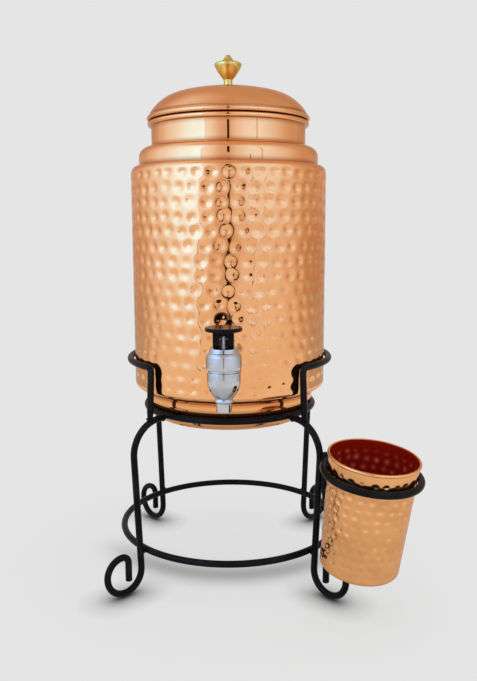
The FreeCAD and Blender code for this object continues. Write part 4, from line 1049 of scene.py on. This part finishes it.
def leg_route(stand):
    """Points of a leg's middle line in its own upright plane, as (across, up), from the seat ring out."""
    start = stand.seat + stand.rod / 2
    arch = Vector((start + stand.rod / 2, stand.arch_height))
    turn = leg_turn(stand, arch)
    normal = Vector((math.cos(turn), math.sin(turn)))
    down = Vector((normal.y, -normal.x))
    leaves = arch + normal * stand.arch
    to_foot = (stand.foot + stand.rod / 2 - leaves.y - normal.y * stand.foot) / down.y
    lands = leaves + down * to_foot
    foot = lands + normal * stand.foot
    scroll = foot + Vector((stand.foot - stand.scroll, 0))
    curl = scroll + Vector((0, stand.scroll - stand.curl))
    quarter = math.pi / 2
    points = [(start - stand.rod * 0.35, arch.y + stand.arch)]
    points += bend(arch, stand.arch, quarter, turn - quarter, 20)
    points += divided([points[-1], tuple(lands)], 6 * MM)[1:-1]
    points += bend(foot, stand.foot, math.pi + turn, math.pi - turn, 30)
    points += bend(scroll, stand.scroll, 0, quarter, 14)[1:]
    points += bend(curl, stand.curl, quarter, quarter, 12)[1:]
    return points + eased_end(points[-1], (curl.x - stand.curl, stand.curl_end), stand.ease)


def leg_turn(stand, arch):
    """The angle at which a leg leaves its arch, so that it just touches the lower ring."""
    away = Vector((stand.lower + stand.rod, stand.lower_height)) - arch
    return math.atan2(away.y, away.x) + math.acos(stand.arch / away.length)


def eased_end(before, end, ease):
    """The last points of a run, with a short one for the eased edge."""
    end = Vector(end)
    way = (end - Vector(before)).normalized()
    return [end - way * ease, end - way * ease * 0.4, end]


def leg_spread(stand):
    """How far a leg's straight run moves in for each metre that it rises."""
    return math.tan(leg_turn(stand, Vector((stand.seat + stand.rod, stand.arch_height))))


def cup_frame():
    """Where the tumbler's ring hangs: its middle and axis, its point beside the leg, the level way from
    the leg to that point, and the middle of the tumbler's base."""
    stand, cup = settings().stand, settings().tumbler
    outward = bearing(LEG_BEARING)
    aside = bearing(cup.bearing)
    axis = outward * math.sin(cup.lean) + UP * math.cos(cup.lean)
    back = (axis * aside.dot(axis) - aside).normalized() * cup.ring
    height = cup.ring_height + back.z
    leg = stand.lower + stand.rod - (height - stand.lower_height) * leg_spread(stand)
    weld = outward * leg + aside * (2 * stand.rod) + UP * height
    middle = weld - back
    return SimpleNamespace(middle=middle, axis=axis, weld=weld, aside=aside,
                           base=middle - axis * (cup.height - cup.drop))


def hoop_route(stand):
    """Points of the guard hoop: up a prong, round the back, down the other prong; and the prongs' feet."""
    radius, height, ease = stand.hoop, stand.hoop_height, stand.hoop_bend
    foot_radius = radius + stand.splay
    top = stand.arch + stand.rod / 2
    tilt = math.asin((foot_radius - stand.seat - stand.rod) / top)
    foot_up = stand.arch_height + top * math.cos(tilt) - 0.4 * MM
    first = LEG_BEARING + ease / radius
    halves = []
    for way in (-1, 1):
        outward = bearing(way * LEG_BEARING)
        corner = outward * radius + UP * height
        foot = outward * foot_radius + UP * foot_up
        low = corner - UP * ease
        level = bearing(way * first) * radius + UP * height
        points = [foot + (low - foot) * (k / 6) for k in range(6)]
        for k in range(9):
            mix = k / 8
            points.append(low * (1 - mix) ** 2 + corner * (2 * mix * (1 - mix)) + level * mix ** 2)
        halves.append(points)
    back = [bearing(-first - (ROUND - 2 * first) * k / 90) * radius + UP * height for k in range(1, 90)]
    return halves[0] + back + halves[1][::-1], [points[:2] for points in halves]


class MakeStand(bpy.types.Operator):
    """Sweep the stand's legs, rings, guard hoop and hanger from round rod"""
    bl_idname = "dispenser.make_stand"
    bl_label = "Rod Stand"

    def execute(self, context):
        stand, cup = settings().stand, settings().tumbler
        held = cup_frame()

        def sweep(node, points, cyclic=False):
            mesh = grown(node + "_rod", group_named("Bent Rod", bent_rod_tree), route_mesh(points, cyclic),
                         Rod_Radius=stand.rod / 2, Ease=stand.ease, Material=finish("black_rod"))
            place(node + "_rod", mesh, "stand", "black_rod", [node], 50.0)

        flat = leg_route(stand)
        for node, angle in LEGS.items():
            sweep(node, [bearing(angle) * across + UP * up for across, up in flat])
        sweep("seat_ring", circle(UP * stand.seat_height, UP, stand.seat, 160), True)
        sweep("base_ring", circle(UP * stand.lower_height, UP, stand.lower, 180), True)
        sweep("guard_hoop", hoop_route(stand)[0])
        sweep("cup_ring", circle(held.middle, held.axis, cup.ring, 110), True)

        along = (UP - bearing(LEG_BEARING) * leg_spread(stand)).normalized()
        beside = held.weld - held.aside * stand.rod
        low = beside + along * (stand.hanger_rise - stand.hanger)
        high = beside + along * stand.hanger_rise
        run = [low + (high - low) * (k / 8) for k in range(1, 8)]
        run = eased_end(high, low, stand.ease)[::-1] + run + eased_end(low, high, stand.ease)
        sweep("cup_hanger", run)
        return {"FINISHED"}


class MakeWelds(bpy.types.Operator):
    """Lay a small bead of weld where the stand's rods meet"""
    bl_idname = "dispenser.make_welds"
    bl_label = "Weld Beads"

    def execute(self, context):
        stand, held = settings().stand, cup_frame()
        # Each bead has a place, a direction and a stretch along its own three axes.
        spots = []
        for angle in LEGS.values():
            way = bearing(angle)
            top = way * (stand.seat + stand.rod * 0.52) + UP * (stand.arch_height + stand.arch + 0.1 * MM)
            spots.append((top, way, (1.02, 1.02, 0.4)))
            touch = way * (stand.lower + stand.rod / 2) + UP * stand.lower_height
            for side in (1, -1):
                spots.append((touch + UP * side * 1.6 * MM, way.cross(UP), (0.5, 0.72, 0.7)))
        for foot, above in hoop_route(stand)[1]:
            way = (above - foot).normalized()
            spots.append((foot + way * 0.3 * MM, way, (1.06, 1.06, 0.36)))
        spots.append((held.weld - held.aside * stand.rod * 0.5, UP, (0.6, 0.6, 0.75)))
        spots.append((held.weld - held.aside * stand.rod * 1.5 - UP * stand.rod, UP, (0.55, 0.55, 1.5)))
        mesh = bpy.data.meshes.new("weld_spots")
        mesh.from_pydata([tuple(spot[0]) for spot in spots], [], [])
        for label, column in (("along", 1), ("stretch", 2)):
            attribute = mesh.attributes.new(label, "FLOAT_VECTOR", "POINT")
            for point, spot in zip(attribute.data, spots):
                point.vector = spot[column]
        beads = grown("weld_beads", group_named("Weld Bead", weld_tree), mesh, Bead_Radius=stand.bead,
                      Lumps=stand.lumps, Material=finish("black_rod"))
        place("weld_beads", beads, "stand", "black_rod", angle=80.0)
        return {"FINISHED"}


# The tumbler

class MakeTumbler(bpy.types.Operator):
    """Turn and hammer the tumbler, and lean it in its ring"""
    bl_idname = "dispenser.make_tumbler"
    bl_label = "Tumbler"

    def execute(self, context):
        cup, hammer = settings().tumbler, settings().hammer
        taper = (cup.mouth - cup.foot) / cup.height
        skin, lip = cup.sheet, cup.lip
        under_lip = (cup.mouth - taper * 2 * lip, cup.height - 2 * lip)
        lip_edge, lip_turn = cup.mouth + lip * 0.95, lip * 0.9
        in_mouth = (cup.mouth - skin - taper * 4 * MM, cup.height - 4 * MM)
        outside = rounded([
            (0.0, 0.9 * MM),
            (cup.foot - 9.0 * MM, 0.6 * MM, 2.0 * MM),
            (cup.foot - 7.0 * MM, 0.0, 1.6 * MM),
            (cup.foot, 0.0, cup.turn),
            under_lip,
        ], 12.0)
        roll = rounded([
            under_lip + (0.2 * MM,),
            (lip_edge, cup.height - 2 * lip, lip_turn),
            (lip_edge, cup.height, lip_turn),
            (cup.mouth - skin, cup.height, 0.7 * MM),
            in_mouth,
        ], 22.0)
        inside = rounded([
            in_mouth,
            (cup.foot - skin, skin + 0.6 * MM, cup.turn - skin / 2),
            (0.0, skin + 0.9 * MM),
        ], 15.0)
        before = divided(outside, 1.15 * MM)[:-1] + roll
        outline = before + divided(inside, 1.5 * MM)[1:]
        shell = turned_mesh("tumbler_shell", outline, segments=240, inner_from=len(before) - 3)
        mesh = grown("hammered_tumbler", group_named("Hammered Shell", hammered_tree), shell,
                     Rows=round((cup.height - 8 * MM) / hammer.cup_row),
                     Per_Row=round(ROUND * cup.mouth / hammer.cup_pitch), Row_Height=hammer.cup_row,
                     Foot=3 * MM, Foot_Radius=cup.foot, Taper=taper,
                     Depth=hammer.cup_depth, Size=hammer.cup_size, Stray=hammer.cup_stray,
                     Seed=hammer.seed + 4, Low=5 * MM, High=cup.height - 7 * MM, Fade=5 * MM,
                     Foot_Share=0.9, Material=finish("tumbler_copper"))
        held = cup_frame()
        moved(mesh, Matrix.Translation(held.base) @ UP.rotation_difference(held.axis).to_matrix().to_4x4())
        place("hammered_tumbler", mesh, "tumbler", "tumbler_copper", ["tumbler"], 60.0)
        return {"FINISHED"}


# The tap, whose outlines are in millimetres over the tip of its spout

THREAD = 11.4
CHAMBER = 9.0
SHOULDER_UP = 34.9
THREAD_TOP = 43.0
STEM = 2.75


def at_tap(mesh):
    """Moves a piece that is drawn about Z, over the spout's tip, to the tap's own axis."""
    tap = settings().tap
    return moved(mesh, Matrix.Translation((0, -tap.reach, tap.tip)))


def along_y(mesh, height):
    """Lays a piece turned about Z along the Y axis, at a height; its own height runs towards -Y."""
    return moved(mesh, Matrix.Translation((0, 0, height)) @ Matrix.Rotation(math.pi / 2, 4, "X"))


class MakeTap(bpy.types.Operator):
    """Turn the tap's chromed body with its shank and flange, and the bonnet on top"""
    bl_idname = "dispenser.make_tap"
    bl_label = "Tap"

    def execute(self, context):
        tap = settings().tap
        wide, top = tap.body / MM, tap.bonnet / MM
        bore, spout, bead, waist, collar = 4.5, 6.2, 7.6, 6.8, wide - 1.0
        spout_top, bead_low, bead_high, waist_up = 7.3, 8.3, 9.9, 11.0
        widest_up, rim_low, rim_high, chamber_floor = 26.5, 32.9, 33.2, 20.0
        cup = arc((waist * MM, waist_up * MM), (tap.body, widest_up * MM), 20.6 * MM, 1, 18)
        foot = rounded(mm(
            (bore, 0.0, 0.3), (spout, 0.0, 0.5), (spout, spout_top, 0.3), (bead, bead_low, 0.5),
            (bead, bead_high, 0.5), (waist, waist_up)), 15.0)
        head = rounded(cup[-1:] + mm(
            (wide, rim_low, 0.7), (collar, rim_high, 0.3), (collar, SHOULDER_UP), (THREAD, SHOULDER_UP),
            (THREAD, THREAD_TOP), (CHAMBER, THREAD_TOP), (CHAMBER, chamber_floor),
            (bore, chamber_floor)), 15.0)
        barrel = at_tap(turned_mesh("tap_barrel", foot + cup + head[1:], segments=128))

        # The shank's outline is in millimetres from the pot's axis.
        shank_bore, shank, flange = 5.0, 8.0, 12.5
        shank_end, flange_back, flange_front, neck_back, neck_front, shank_start = (
            71.0, 93.0, 95.5, 95.9, 98.0, 113.0)
        outline = rounded(mm(
            (shank_bore, shank_end), (shank - 0.4, shank_end, 0.3), (shank, shank_end + 0.6, 0.3),
            (shank, flange_back), (flange - 0.4, flange_back, 0.4), (flange, flange_back + 0.6, 0.5),
            (flange, flange_front, 0.7), (shank + 0.6, neck_back, 1.2), (shank, neck_front, 2.0),
            (shank, shank_start), (shank_bore, shank_start)), 15.0)
        pipe = along_y(turned_mesh("tap_shank", outline, segments=96), tap.tip + tap.shank_rise)
        place("tap_casting", joined("tap_casting", [barrel, pipe]), "vessel", "chrome", ["tap_body"])

        crown, eye, ceiling = 11.4, STEM + 0.06, 46.2
        side_low, side_high, crown_foot, crown_up = 37.0, 46.0, 48.8, 52.3
        outline = rounded(mm(
            (THREAD, SHOULDER_UP), (top - 0.2, SHOULDER_UP, 0.6), (top, side_low, 1.2),
            (top, side_high, 1.2), (12.5, 48.4, 0.7), (11.7, crown_foot, 0.3), (crown, crown_up, 0.9),
            (eye, crown_up, 0.3), (eye, ceiling), (CHAMBER, ceiling), (CHAMBER, THREAD_TOP),
            (THREAD, THREAD_TOP)), 12.0)
        cap = at_tap(turned_mesh("tap_cap", outline, segments=128))
        place("tap_cap", cap, "vessel", "chrome", ["tap_bonnet"])
        return {"FINISHED"}


class MakeValve(bpy.types.Operator):
    """Turn the tap's stem and the pin that carries the handle, and set the spring round the stem"""
    bl_idname = "dispenser.make_valve"
    bl_label = "Valve Stem"

    def execute(self, context):
        tap = settings().tap
        collar, collar_low, collar_high = 5.65, 26.2, 27.7
        foot, shoulder, head = 22.2, 61.6, 62.7
        outline = rounded(mm(
            (0.0, foot), (STEM, foot), (STEM, collar_low), (collar, collar_low, 0.3),
            (collar, collar_high, 0.3), (STEM, collar_high), (STEM, shoulder, 0.6),
            (1.55, head, 0.4), (0.0, head)), 18.0)
        stem = at_tap(turned_mesh("stem", divided(outline, 4 * MM), segments=64))
        place("valve_stem", stem, "valve", "steel", ["tap_stem"])

        pin_radius, reach = 1.5, 8.2
        outline = rounded(mm((0.0, -reach), (pin_radius, -reach, 0.35), (pin_radius, reach, 0.35),
                             (0.0, reach)), 18.0)
        pin = moved(turned_mesh("pin", outline, segments=40), Matrix.Rotation(math.pi / 2, 4, "Y"))
        at_tap(moved(pin, Matrix.Translation((0, 0, tap.pin_rise))))
        place("handle_pin", pin, "valve", "steel", ["tap_handle_pin"])

        spring = place("valve_spring", merged_copy("valve_spring", "tap_spring"), "vessel", "steel",
                       ["tap_spring"])
        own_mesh(spring)
        return {"FINISHED"}


class MakeHandle(bpy.types.Operator):
    """Mould the tap's handle: a thumb disc on a fork that straddles the stem"""
    bl_idname = "dispenser.make_handle"
    bl_label = "Tap Handle"

    def execute(self, context):
        tap = settings().tap
        rise = tap.disc_rise
        disc_top = rise + tap.disc_thickness
        disc = turned_mesh("disc", rounded([
            (0.0, rise), (tap.disc, rise, 0.8 * MM), (tap.disc, disc_top, 1.0 * MM),
            (tap.disc - 3.2 * MM, disc_top - 0.1 * MM, 3.0 * MM), (0.0, disc_top - 0.55 * MM),
        ], 12.0), segments=128)
        into_disc = rise + 0.5 * MM
        half, heel = tap.fork, tap.heel_rise
        side = rounded([
            (-half, heel, 3.0 * MM), (half, heel, 3.0 * MM), (half - 0.4 * MM, into_disc),
            (-half + 0.4 * MM, into_disc),
        ], 12.0)
        cheeks = []
        for low, high in ((-tap.slot - tap.cheek, -tap.slot), (tap.slot, tap.slot + tap.cheek)):
            cheek = slab(side, low, high, True)
            rims = [edge for edge in cheek.edges if edge.calc_face_angle() > math.radians(70)]
            bmesh.ops.bevel(cheek, geom=rims, offset=0.5 * MM, segments=3, affect="EDGES")
            cheeks.append(mesh_of(cheek, "cheek"))
        # The bridge between the cheeks has an arched underside that clears the stem's head.
        arch_centre = tap.pin_rise + 1.8 * MM
        spring_up = arch_centre + 0.9 * MM
        arch = [(-tap.slot, into_disc), (-tap.slot, spring_up)]
        arch += [(tap.slot * math.cos(angle), arch_centre + tap.slot * math.sin(angle))
                 for angle in [math.pi - math.pi * k / 16 for k in range(2, 15)]]
        arch += [(tap.slot, spring_up), (tap.slot, into_disc)]
        depth = half - 0.8 * MM
        bridge = mesh_of(slab(arch, -depth, depth, False), "bridge")
        mesh = at_tap(joined("thumb_handle", [disc, bridge] + cheeks))
        place("thumb_handle", mesh, "handle", "black_plastic", ["tap_handle"], 35.0)
        return {"FINISHED"}


class FinishNodes(bpy.types.Operator):
    """Give the parts that are kept as they are their finishes"""
    bl_idname = "dispenser.finish_nodes"
    bl_label = "Small Parts' Finishes"

    def execute(self, context):
        kept = {
            "steel": ("knob_washer", "knob_screw"),
            "chrome": ("tap_lock_nut",),
            "rubber": ("tap_outer_washer", "tap_inner_washer", "tap_seat_cup"),
        }
        for name, nodes in kept.items():
            for node in nodes:
                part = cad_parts[node]
                part.data.materials.clear()
                part.data.materials.append(finish(name))
                part.data.shade_smooth()
        return {"FINISHED"}


# The stage

# The light tent: a round cloth wall with a domed roof, as (radius, height), and its brightness by
# bearing in degrees. Only reflections see it.
TENT_OUTLINE = ((0.85, 0.0), (0.85, 1.0), (0.6, 1.3), (0.0, 1.45))
TENT = (
    (-180, 0.60), (-140, 0.56), (-122, 0.54), (-104, 0.72), (-90, 0.98), (-79, 1.10), (-69, 1.26),
    (-59, 1.46), (-50, 1.58), (-31, 1.62), (-30.5, 0.6), (-29.9, 0.6), (-29.4, 1.2), (-19, 0.93),
    (-11, 0.66), (-4, 0.56), (4, 0.57), (10, 0.78), (18, 0.92), (27, 1.08), (41.6, 1.12), (42, 0.45),
    (42.8, 0.45), (43.2, 1.14), (58, 0.95), (77, 0.73), (90, 0.56), (104, 0.45), (122, 0.45), (150, 0.55),
    (180, 0.60))
TENT_LEVEL = 1.26
TENT_BRIGHTEST = 3.0
# Its changes with height: the low part, the roof and the pale foot, each with where the change begins
# and ends.
LOW_SHARE, LOW_HEIGHTS = 0.74, (0.25, 0.48)
CEILING, ROOF_SHARE, ROOF_HEIGHTS = 0.5, 0.95, (0.95, 1.4)
FLOOR_GLOW, FOOT_HEIGHTS = 0.9, (0.0, 0.32)
FOOT_SHARE_BEHIND, FOOT_TURNS = 0.62, (1.2, 2.1)
BACK_SHADE, BACK_TURNS, BACK_HEIGHTS = 0.34, (1.95, 2.5), (0.40, 0.52)
# A bright panel in the cloth at the upper left.
PANEL, PANEL_REACH, PANEL_LEVEL = (-0.48, 0.05, 1.25), 0.3, 0.42
RED_SOFTNESS, RED_GAIN = 0.55, 1.07
BLUE_POWER, BLUE_GAIN = 1.6, 1.27

# Upright dark cards in front of the tent: name, lower left and upper right corner as (x, height), the
# place on Y, and the colour.
DARK_CARD = (0.02, 0.0024, 0.0008)
CARDS = (
    ("tent_slit", (0.005, 0.482), (0.048, 1.0), -0.80, DARK_CARD),
    ("dark_stand", (0.006, 0.08), (0.044, 0.432), -0.78, DARK_CARD),
    ("dark_camera", (-0.015, 0.24), (0.065, 0.36), -0.77, DARK_CARD),
    ("pole_right", (0.362, 0.13), (0.378, 0.47), -0.706, (0.30, 0.18, 0.15)),
    ("pole_left", (-0.410, 0.09), (-0.392, 0.31), -0.693, (0.12, 0.072, 0.06)),
)

# The floor, which is plain far from the object. Reflections see it brighten outward.
FLOOR_HALF = 6.0
FLOOR_DROP = 0.2 * MM
FLOOR_SHADE = 0.62
NEAR_FLOOR = (0.19, 0.38)
PLAIN_SHARE = (0.84, 1.0)
MIRRORED_SHARE = (0.45, 1.0)
MIRRORED_REACH = (0.18, 0.5)
MIRRORED_GLOW = (0.52, FLOOR_GLOW)
# Painted contact shade: how near the object must be to darken the floor, and how strongly.
CONTACT_REACH, CONTACT_POWER = 0.03, 3.5
# A painted shadow band on the floor, placed where the lower ring would throw one inward under light from the
# front.
RING_SHADOW = (-0.002, 0.078, 0.0)
RING_SHADOW_RADIUS, RING_SHADOW_WIDTH = 0.125, 0.019
RING_SHADOW_DEPTH, RING_SHADOW_FRONT = 0.54, (-0.04, 0.05)

WORLD_LIGHT = 0.95
LAMP_SPOT, LAMP_AIM = (0.15, -0.1, 1.5), (0.0, 0.0, 0.1)
LAMP_WIDTH, LAMP_POWER = 0.9, 8.5
LENS, SENSOR = 39.2, 36.0
CAMERA_SPOT = (27.05 * MM, -704.2 * MM, 322 * MM)
CAMERA_YAW, CAMERA_PITCH, CAMERA_ROLL = math.radians(-1.50), math.radians(8.59), math.radians(-0.21)


def shining(name):
    """A material that only shines, its wiring, and the socket for its colour."""
    material, w, surface = blank_material(name)
    glow = w.node("ShaderNodeEmission", Strength=1.0)
    w.set(surface, glow)
    return material, w, glow.inputs["Color"]


def tent_material():
    """The tent's brightness by bearing and height, with a bright panel and a pale foot."""
    material, w, colour_socket = shining("tent_cloth")
    place_on = w.node("ShaderNodeTexCoord").outputs["Object"]
    x, y, height = w.node("ShaderNodeSeparateXYZ", Vector=place_on).outputs
    turn = w.math("ARCTAN2", x, w.product(y, -1.0))
    ramp = w.node("ShaderNodeValToRGB", Fac=w.math("MULTIPLY_ADD", turn, 1 / ROUND, 0.5))
    elements = ramp.color_ramp.elements
    elements.remove(elements[-1])
    for index, (angle, level) in enumerate(TENT):
        spot = (angle + 180.0) / 360.0
        element = elements[0] if index == 0 else elements.new(spot)
        element.position = spot
        grey = level / TENT_BRIGHTEST
        element.color = (grey, grey, grey, 1.0)

    turn = w.math("ABSOLUTE", turn)
    level = w.product(ramp, TENT_BRIGHTEST * TENT_LEVEL, w.ramp(height, *LOW_HEIGHTS, LOW_SHARE, 1.0))
    behind = w.product(w.ramp(turn, *BACK_TURNS, 0.0, BACK_SHADE), w.ramp(height, *BACK_HEIGHTS))
    level = w.product(level, w.math("SUBTRACT", 1.0, behind))
    level = w.blended(w.ramp(height, *ROOF_HEIGHTS, 0.0, ROOF_SHARE), level, CEILING)
    panel = w.bell(w.vector("DISTANCE", place_on, PANEL), 0.0, PANEL_REACH)
    level = w.math("MULTIPLY_ADD", panel, PANEL_LEVEL, level)
    # Bright cloth is cool and dark cloth is warm.
    faded = w.math("EXPONENT", w.math("DIVIDE", level, -RED_SOFTNESS))
    red = w.product(w.math("SUBTRACT", 1.0, faded), RED_GAIN)
    blue = w.product(w.math("POWER", level, BLUE_POWER), BLUE_GAIN)
    foot = w.ramp(turn, *FOOT_TURNS, FLOOR_GLOW, FLOOR_GLOW * FOOT_SHARE_BEHIND)
    w.set(colour_socket, w.mixed(w.ramp(height, *FOOT_HEIGHTS), w.combine(foot, foot, foot),
                                 w.combine(red, level, blue)))
    return material


def floor_material(pale):
    """Pale paper, plain to the camera and bright to reflections. It keeps the object's real shadow,
    and has painted contact shade and a painted shadow band under the lower ring.
    """
    material, w, surface = blank_material("floor_paper")
    place_on = w.node("ShaderNodeTexCoord").outputs["Object"]
    reach = w.vector("LENGTH", place_on)
    far = w.ramp(reach, *NEAR_FLOOR)
    # Painted contact shade: the floor darkens close to the object.
    touch = w.node("ShaderNodeAmbientOcclusion", {"samples": 24}, Distance=CONTACT_REACH).outputs["AO"]
    open_floor = w.blended(far, w.math("POWER", touch, CONTACT_POWER), 1.0)
    # A painted shadow band along the front of the lower ring.
    back = w.node("ShaderNodeSeparateXYZ", Vector=place_on).outputs["Y"]
    depth = w.ramp(back, *RING_SHADOW_FRONT, RING_SHADOW_DEPTH, 0.0)
    band = w.bell(w.vector("DISTANCE", place_on, RING_SHADOW), RING_SHADOW_RADIUS, RING_SHADOW_WIDTH)
    shown = w.product(open_floor, w.math("SUBTRACT", 1.0, w.product(band, depth)))
    seen = w.node("ShaderNodeLightPath").outputs
    lit = w.node("ShaderNodeBsdfDiffuse", Color=(FLOOR_SHADE, FLOOR_SHADE, FLOOR_SHADE))
    plain = w.node("ShaderNodeEmission", Color=pale, Strength=shown)
    mirrored = w.node("ShaderNodeEmission", Color=(1.0, 1.0, 1.0),
                      Strength=w.ramp(reach, *MIRRORED_REACH, *MIRRORED_GLOW, "LINEAR"))
    to_camera = w.product(w.between(far, *PLAIN_SHARE), seen["Is Camera Ray"])
    to_metal = w.product(w.between(far, *MIRRORED_SHARE), seen["Is Glossy Ray"])
    direct = w.filled("ShaderNodeMixShader", {}, {0: to_camera, 1: lit, 2: plain})
    w.set(surface, w.filled("ShaderNodeMixShader", {}, {0: to_metal, 1: direct, 2: mirrored}))
    return material


def set_world(scene, pale):
    """Plain light from all round, behind which the camera sees the pale backdrop."""
    scene.world = scene.world or bpy.data.worlds.new("studio")
    scene.world.use_nodes = True
    tree = scene.world.node_tree
    tree.nodes.clear()
    w = Wiring(tree)
    seen = w.node("ShaderNodeLightPath").outputs
    straight = w.math("MINIMUM", w.math("ADD", seen["Is Camera Ray"], seen["Is Transmission Ray"]), 1.0)
    light = w.node("ShaderNodeBackground", Color=(1.0, 1.0, 1.0), Strength=WORLD_LIGHT)
    backdrop = w.node("ShaderNodeBackground", Color=pale)
    both = w.filled("ShaderNodeMixShader", {}, {0: straight, 1: light, 2: backdrop})
    w.node("ShaderNodeOutputWorld", Surface=both)


def sheet_of(name, corners, material):
    """A flat sheet with a material."""
    mesh = bpy.data.meshes.new(name)
    mesh.from_pydata(corners, [], [(0, 1, 2, 3)])
    mesh.materials.append(material)
    return linked(name, mesh)


def card(name, low, high, depth, shade):
    """An upright card that shines faintly in its own colour."""
    material, w, colour_socket = shining(name)
    w.set(colour_socket, shade)
    return sheet_of(name, [(low[0], depth, low[1]), (high[0], depth, low[1]), (high[0], depth, high[1]),
                           (low[0], depth, high[1])], material)


def reflections_only(piece):
    for ray in ("camera", "diffuse", "shadow", "transmission", "volume_scatter"):
        setattr(piece, "visible_" + ray, False)


def overhead_lamp():
    data = bpy.data.lights.new("overhead_softbox", "AREA")
    data.shape = "RECTANGLE"
    data.size = LAMP_WIDTH
    data.size_y = LAMP_WIDTH
    data.energy = LAMP_POWER
    lamp = linked("overhead_softbox", data)
    lamp.location = LAMP_SPOT
    lamp.rotation_euler = (Vector(LAMP_AIM) - Vector(LAMP_SPOT)).to_track_quat("-Z", "Y").to_euler()
    lamp.visible_glossy = False


def set_camera(scene):
    eye = bpy.data.cameras.new("camera")
    eye.lens = LENS
    eye.sensor_width = SENSOR
    eye.sensor_fit = "AUTO"
    eye.clip_start = 0.01
    level = Vector((math.sin(CAMERA_YAW), math.cos(CAMERA_YAW), 0)) * math.cos(CAMERA_PITCH)
    forward = level - UP * math.sin(CAMERA_PITCH)
    right = Vector((math.cos(CAMERA_YAW), -math.sin(CAMERA_YAW), 0))
    upward = right.cross(forward)
    side = right * math.cos(CAMERA_ROLL) + upward * math.sin(CAMERA_ROLL)
    top = upward * math.cos(CAMERA_ROLL) - right * math.sin(CAMERA_ROLL)
    turned = Matrix((side, top, -forward)).transposed().to_4x4()
    scene.camera = linked("camera", eye)
    scene.camera.matrix_world = Matrix.Translation(CAMERA_SPOT) @ turned


class BuildStage(bpy.types.Operator):
    """Set up the floor, the light tent and the camera"""
    bl_idname = "dispenser.build_stage"
    bl_label = "Stage and Camera"

    def execute(self, context):
        pale = tuple(settings().colours.backdrop)
        set_world(context.scene, pale)
        corners = [(-FLOOR_HALF, -FLOOR_HALF, 0), (FLOOR_HALF, -FLOOR_HALF, 0), (FLOOR_HALF, FLOOR_HALF, 0),
                   (-FLOOR_HALF, FLOOR_HALF, 0)]
        floor = sheet_of("studio_floor", corners, floor_material(pale))
        floor.location = (0, 0, -FLOOR_DROP)
        tent_mesh = turned_mesh("light_tent", TENT_OUTLINE, segments=128, closed=False)
        tent_mesh.materials.append(tent_material())
        reflections_only(linked("light_tent", tent_mesh))
        for values in CARDS:
            reflections_only(card(*values))
        overhead_lamp()
        set_camera(context.scene)
        context.scene.view_settings.view_transform = "Standard"
        return {"FINISHED"}


# Panel and run

PIECES = (MakeWall, MakeShoulder, MakeBasePan, MakeLid, MakeKnob, MakeStand, MakeWelds, MakeTumbler, MakeTap,
          MakeValve, MakeHandle, FinishNodes, BuildStage)
SETTINGS = (PotSizes, LidSizes, HammerMarks, StandSizes, TumblerSizes, TapSizes, FinishColours,
            DispenserSettings)


class DispenserPanel(bpy.types.Panel):
    """Buttons for the dispenser's pieces"""
    bl_idname = "VIEW3D_PT_water_dispenser"
    bl_label = "Water Dispenser"
    bl_space_type = "VIEW_3D"
    bl_region_type = "UI"
    bl_category = "Dispenser"

    def draw(self, context):
        for piece in PIECES:
            self.layout.operator(piece.bl_idname)
        for group in DispenserSettings.__annotations__:
            box = self.layout.box()
            part = getattr(settings(), group)
            for name in part.__annotations__:
                box.prop(part, name)


CLASSES = SETTINGS + PIECES + (DispenserPanel,)


def register():
    for kind in CLASSES:
        bpy.utils.register_class(kind)
    bpy.types.Scene.water_dispenser = PointerProperty(type=DispenserSettings)


def unregister():
    del bpy.types.Scene.water_dispenser
    for kind in reversed(CLASSES):
        bpy.utils.unregister_class(kind)


def main():
    register()
    for piece in PIECES:
        group, name = piece.bl_idname.split(".")
        getattr(getattr(bpy.ops, group), name)()


if __name__ == "__main__":
    main()
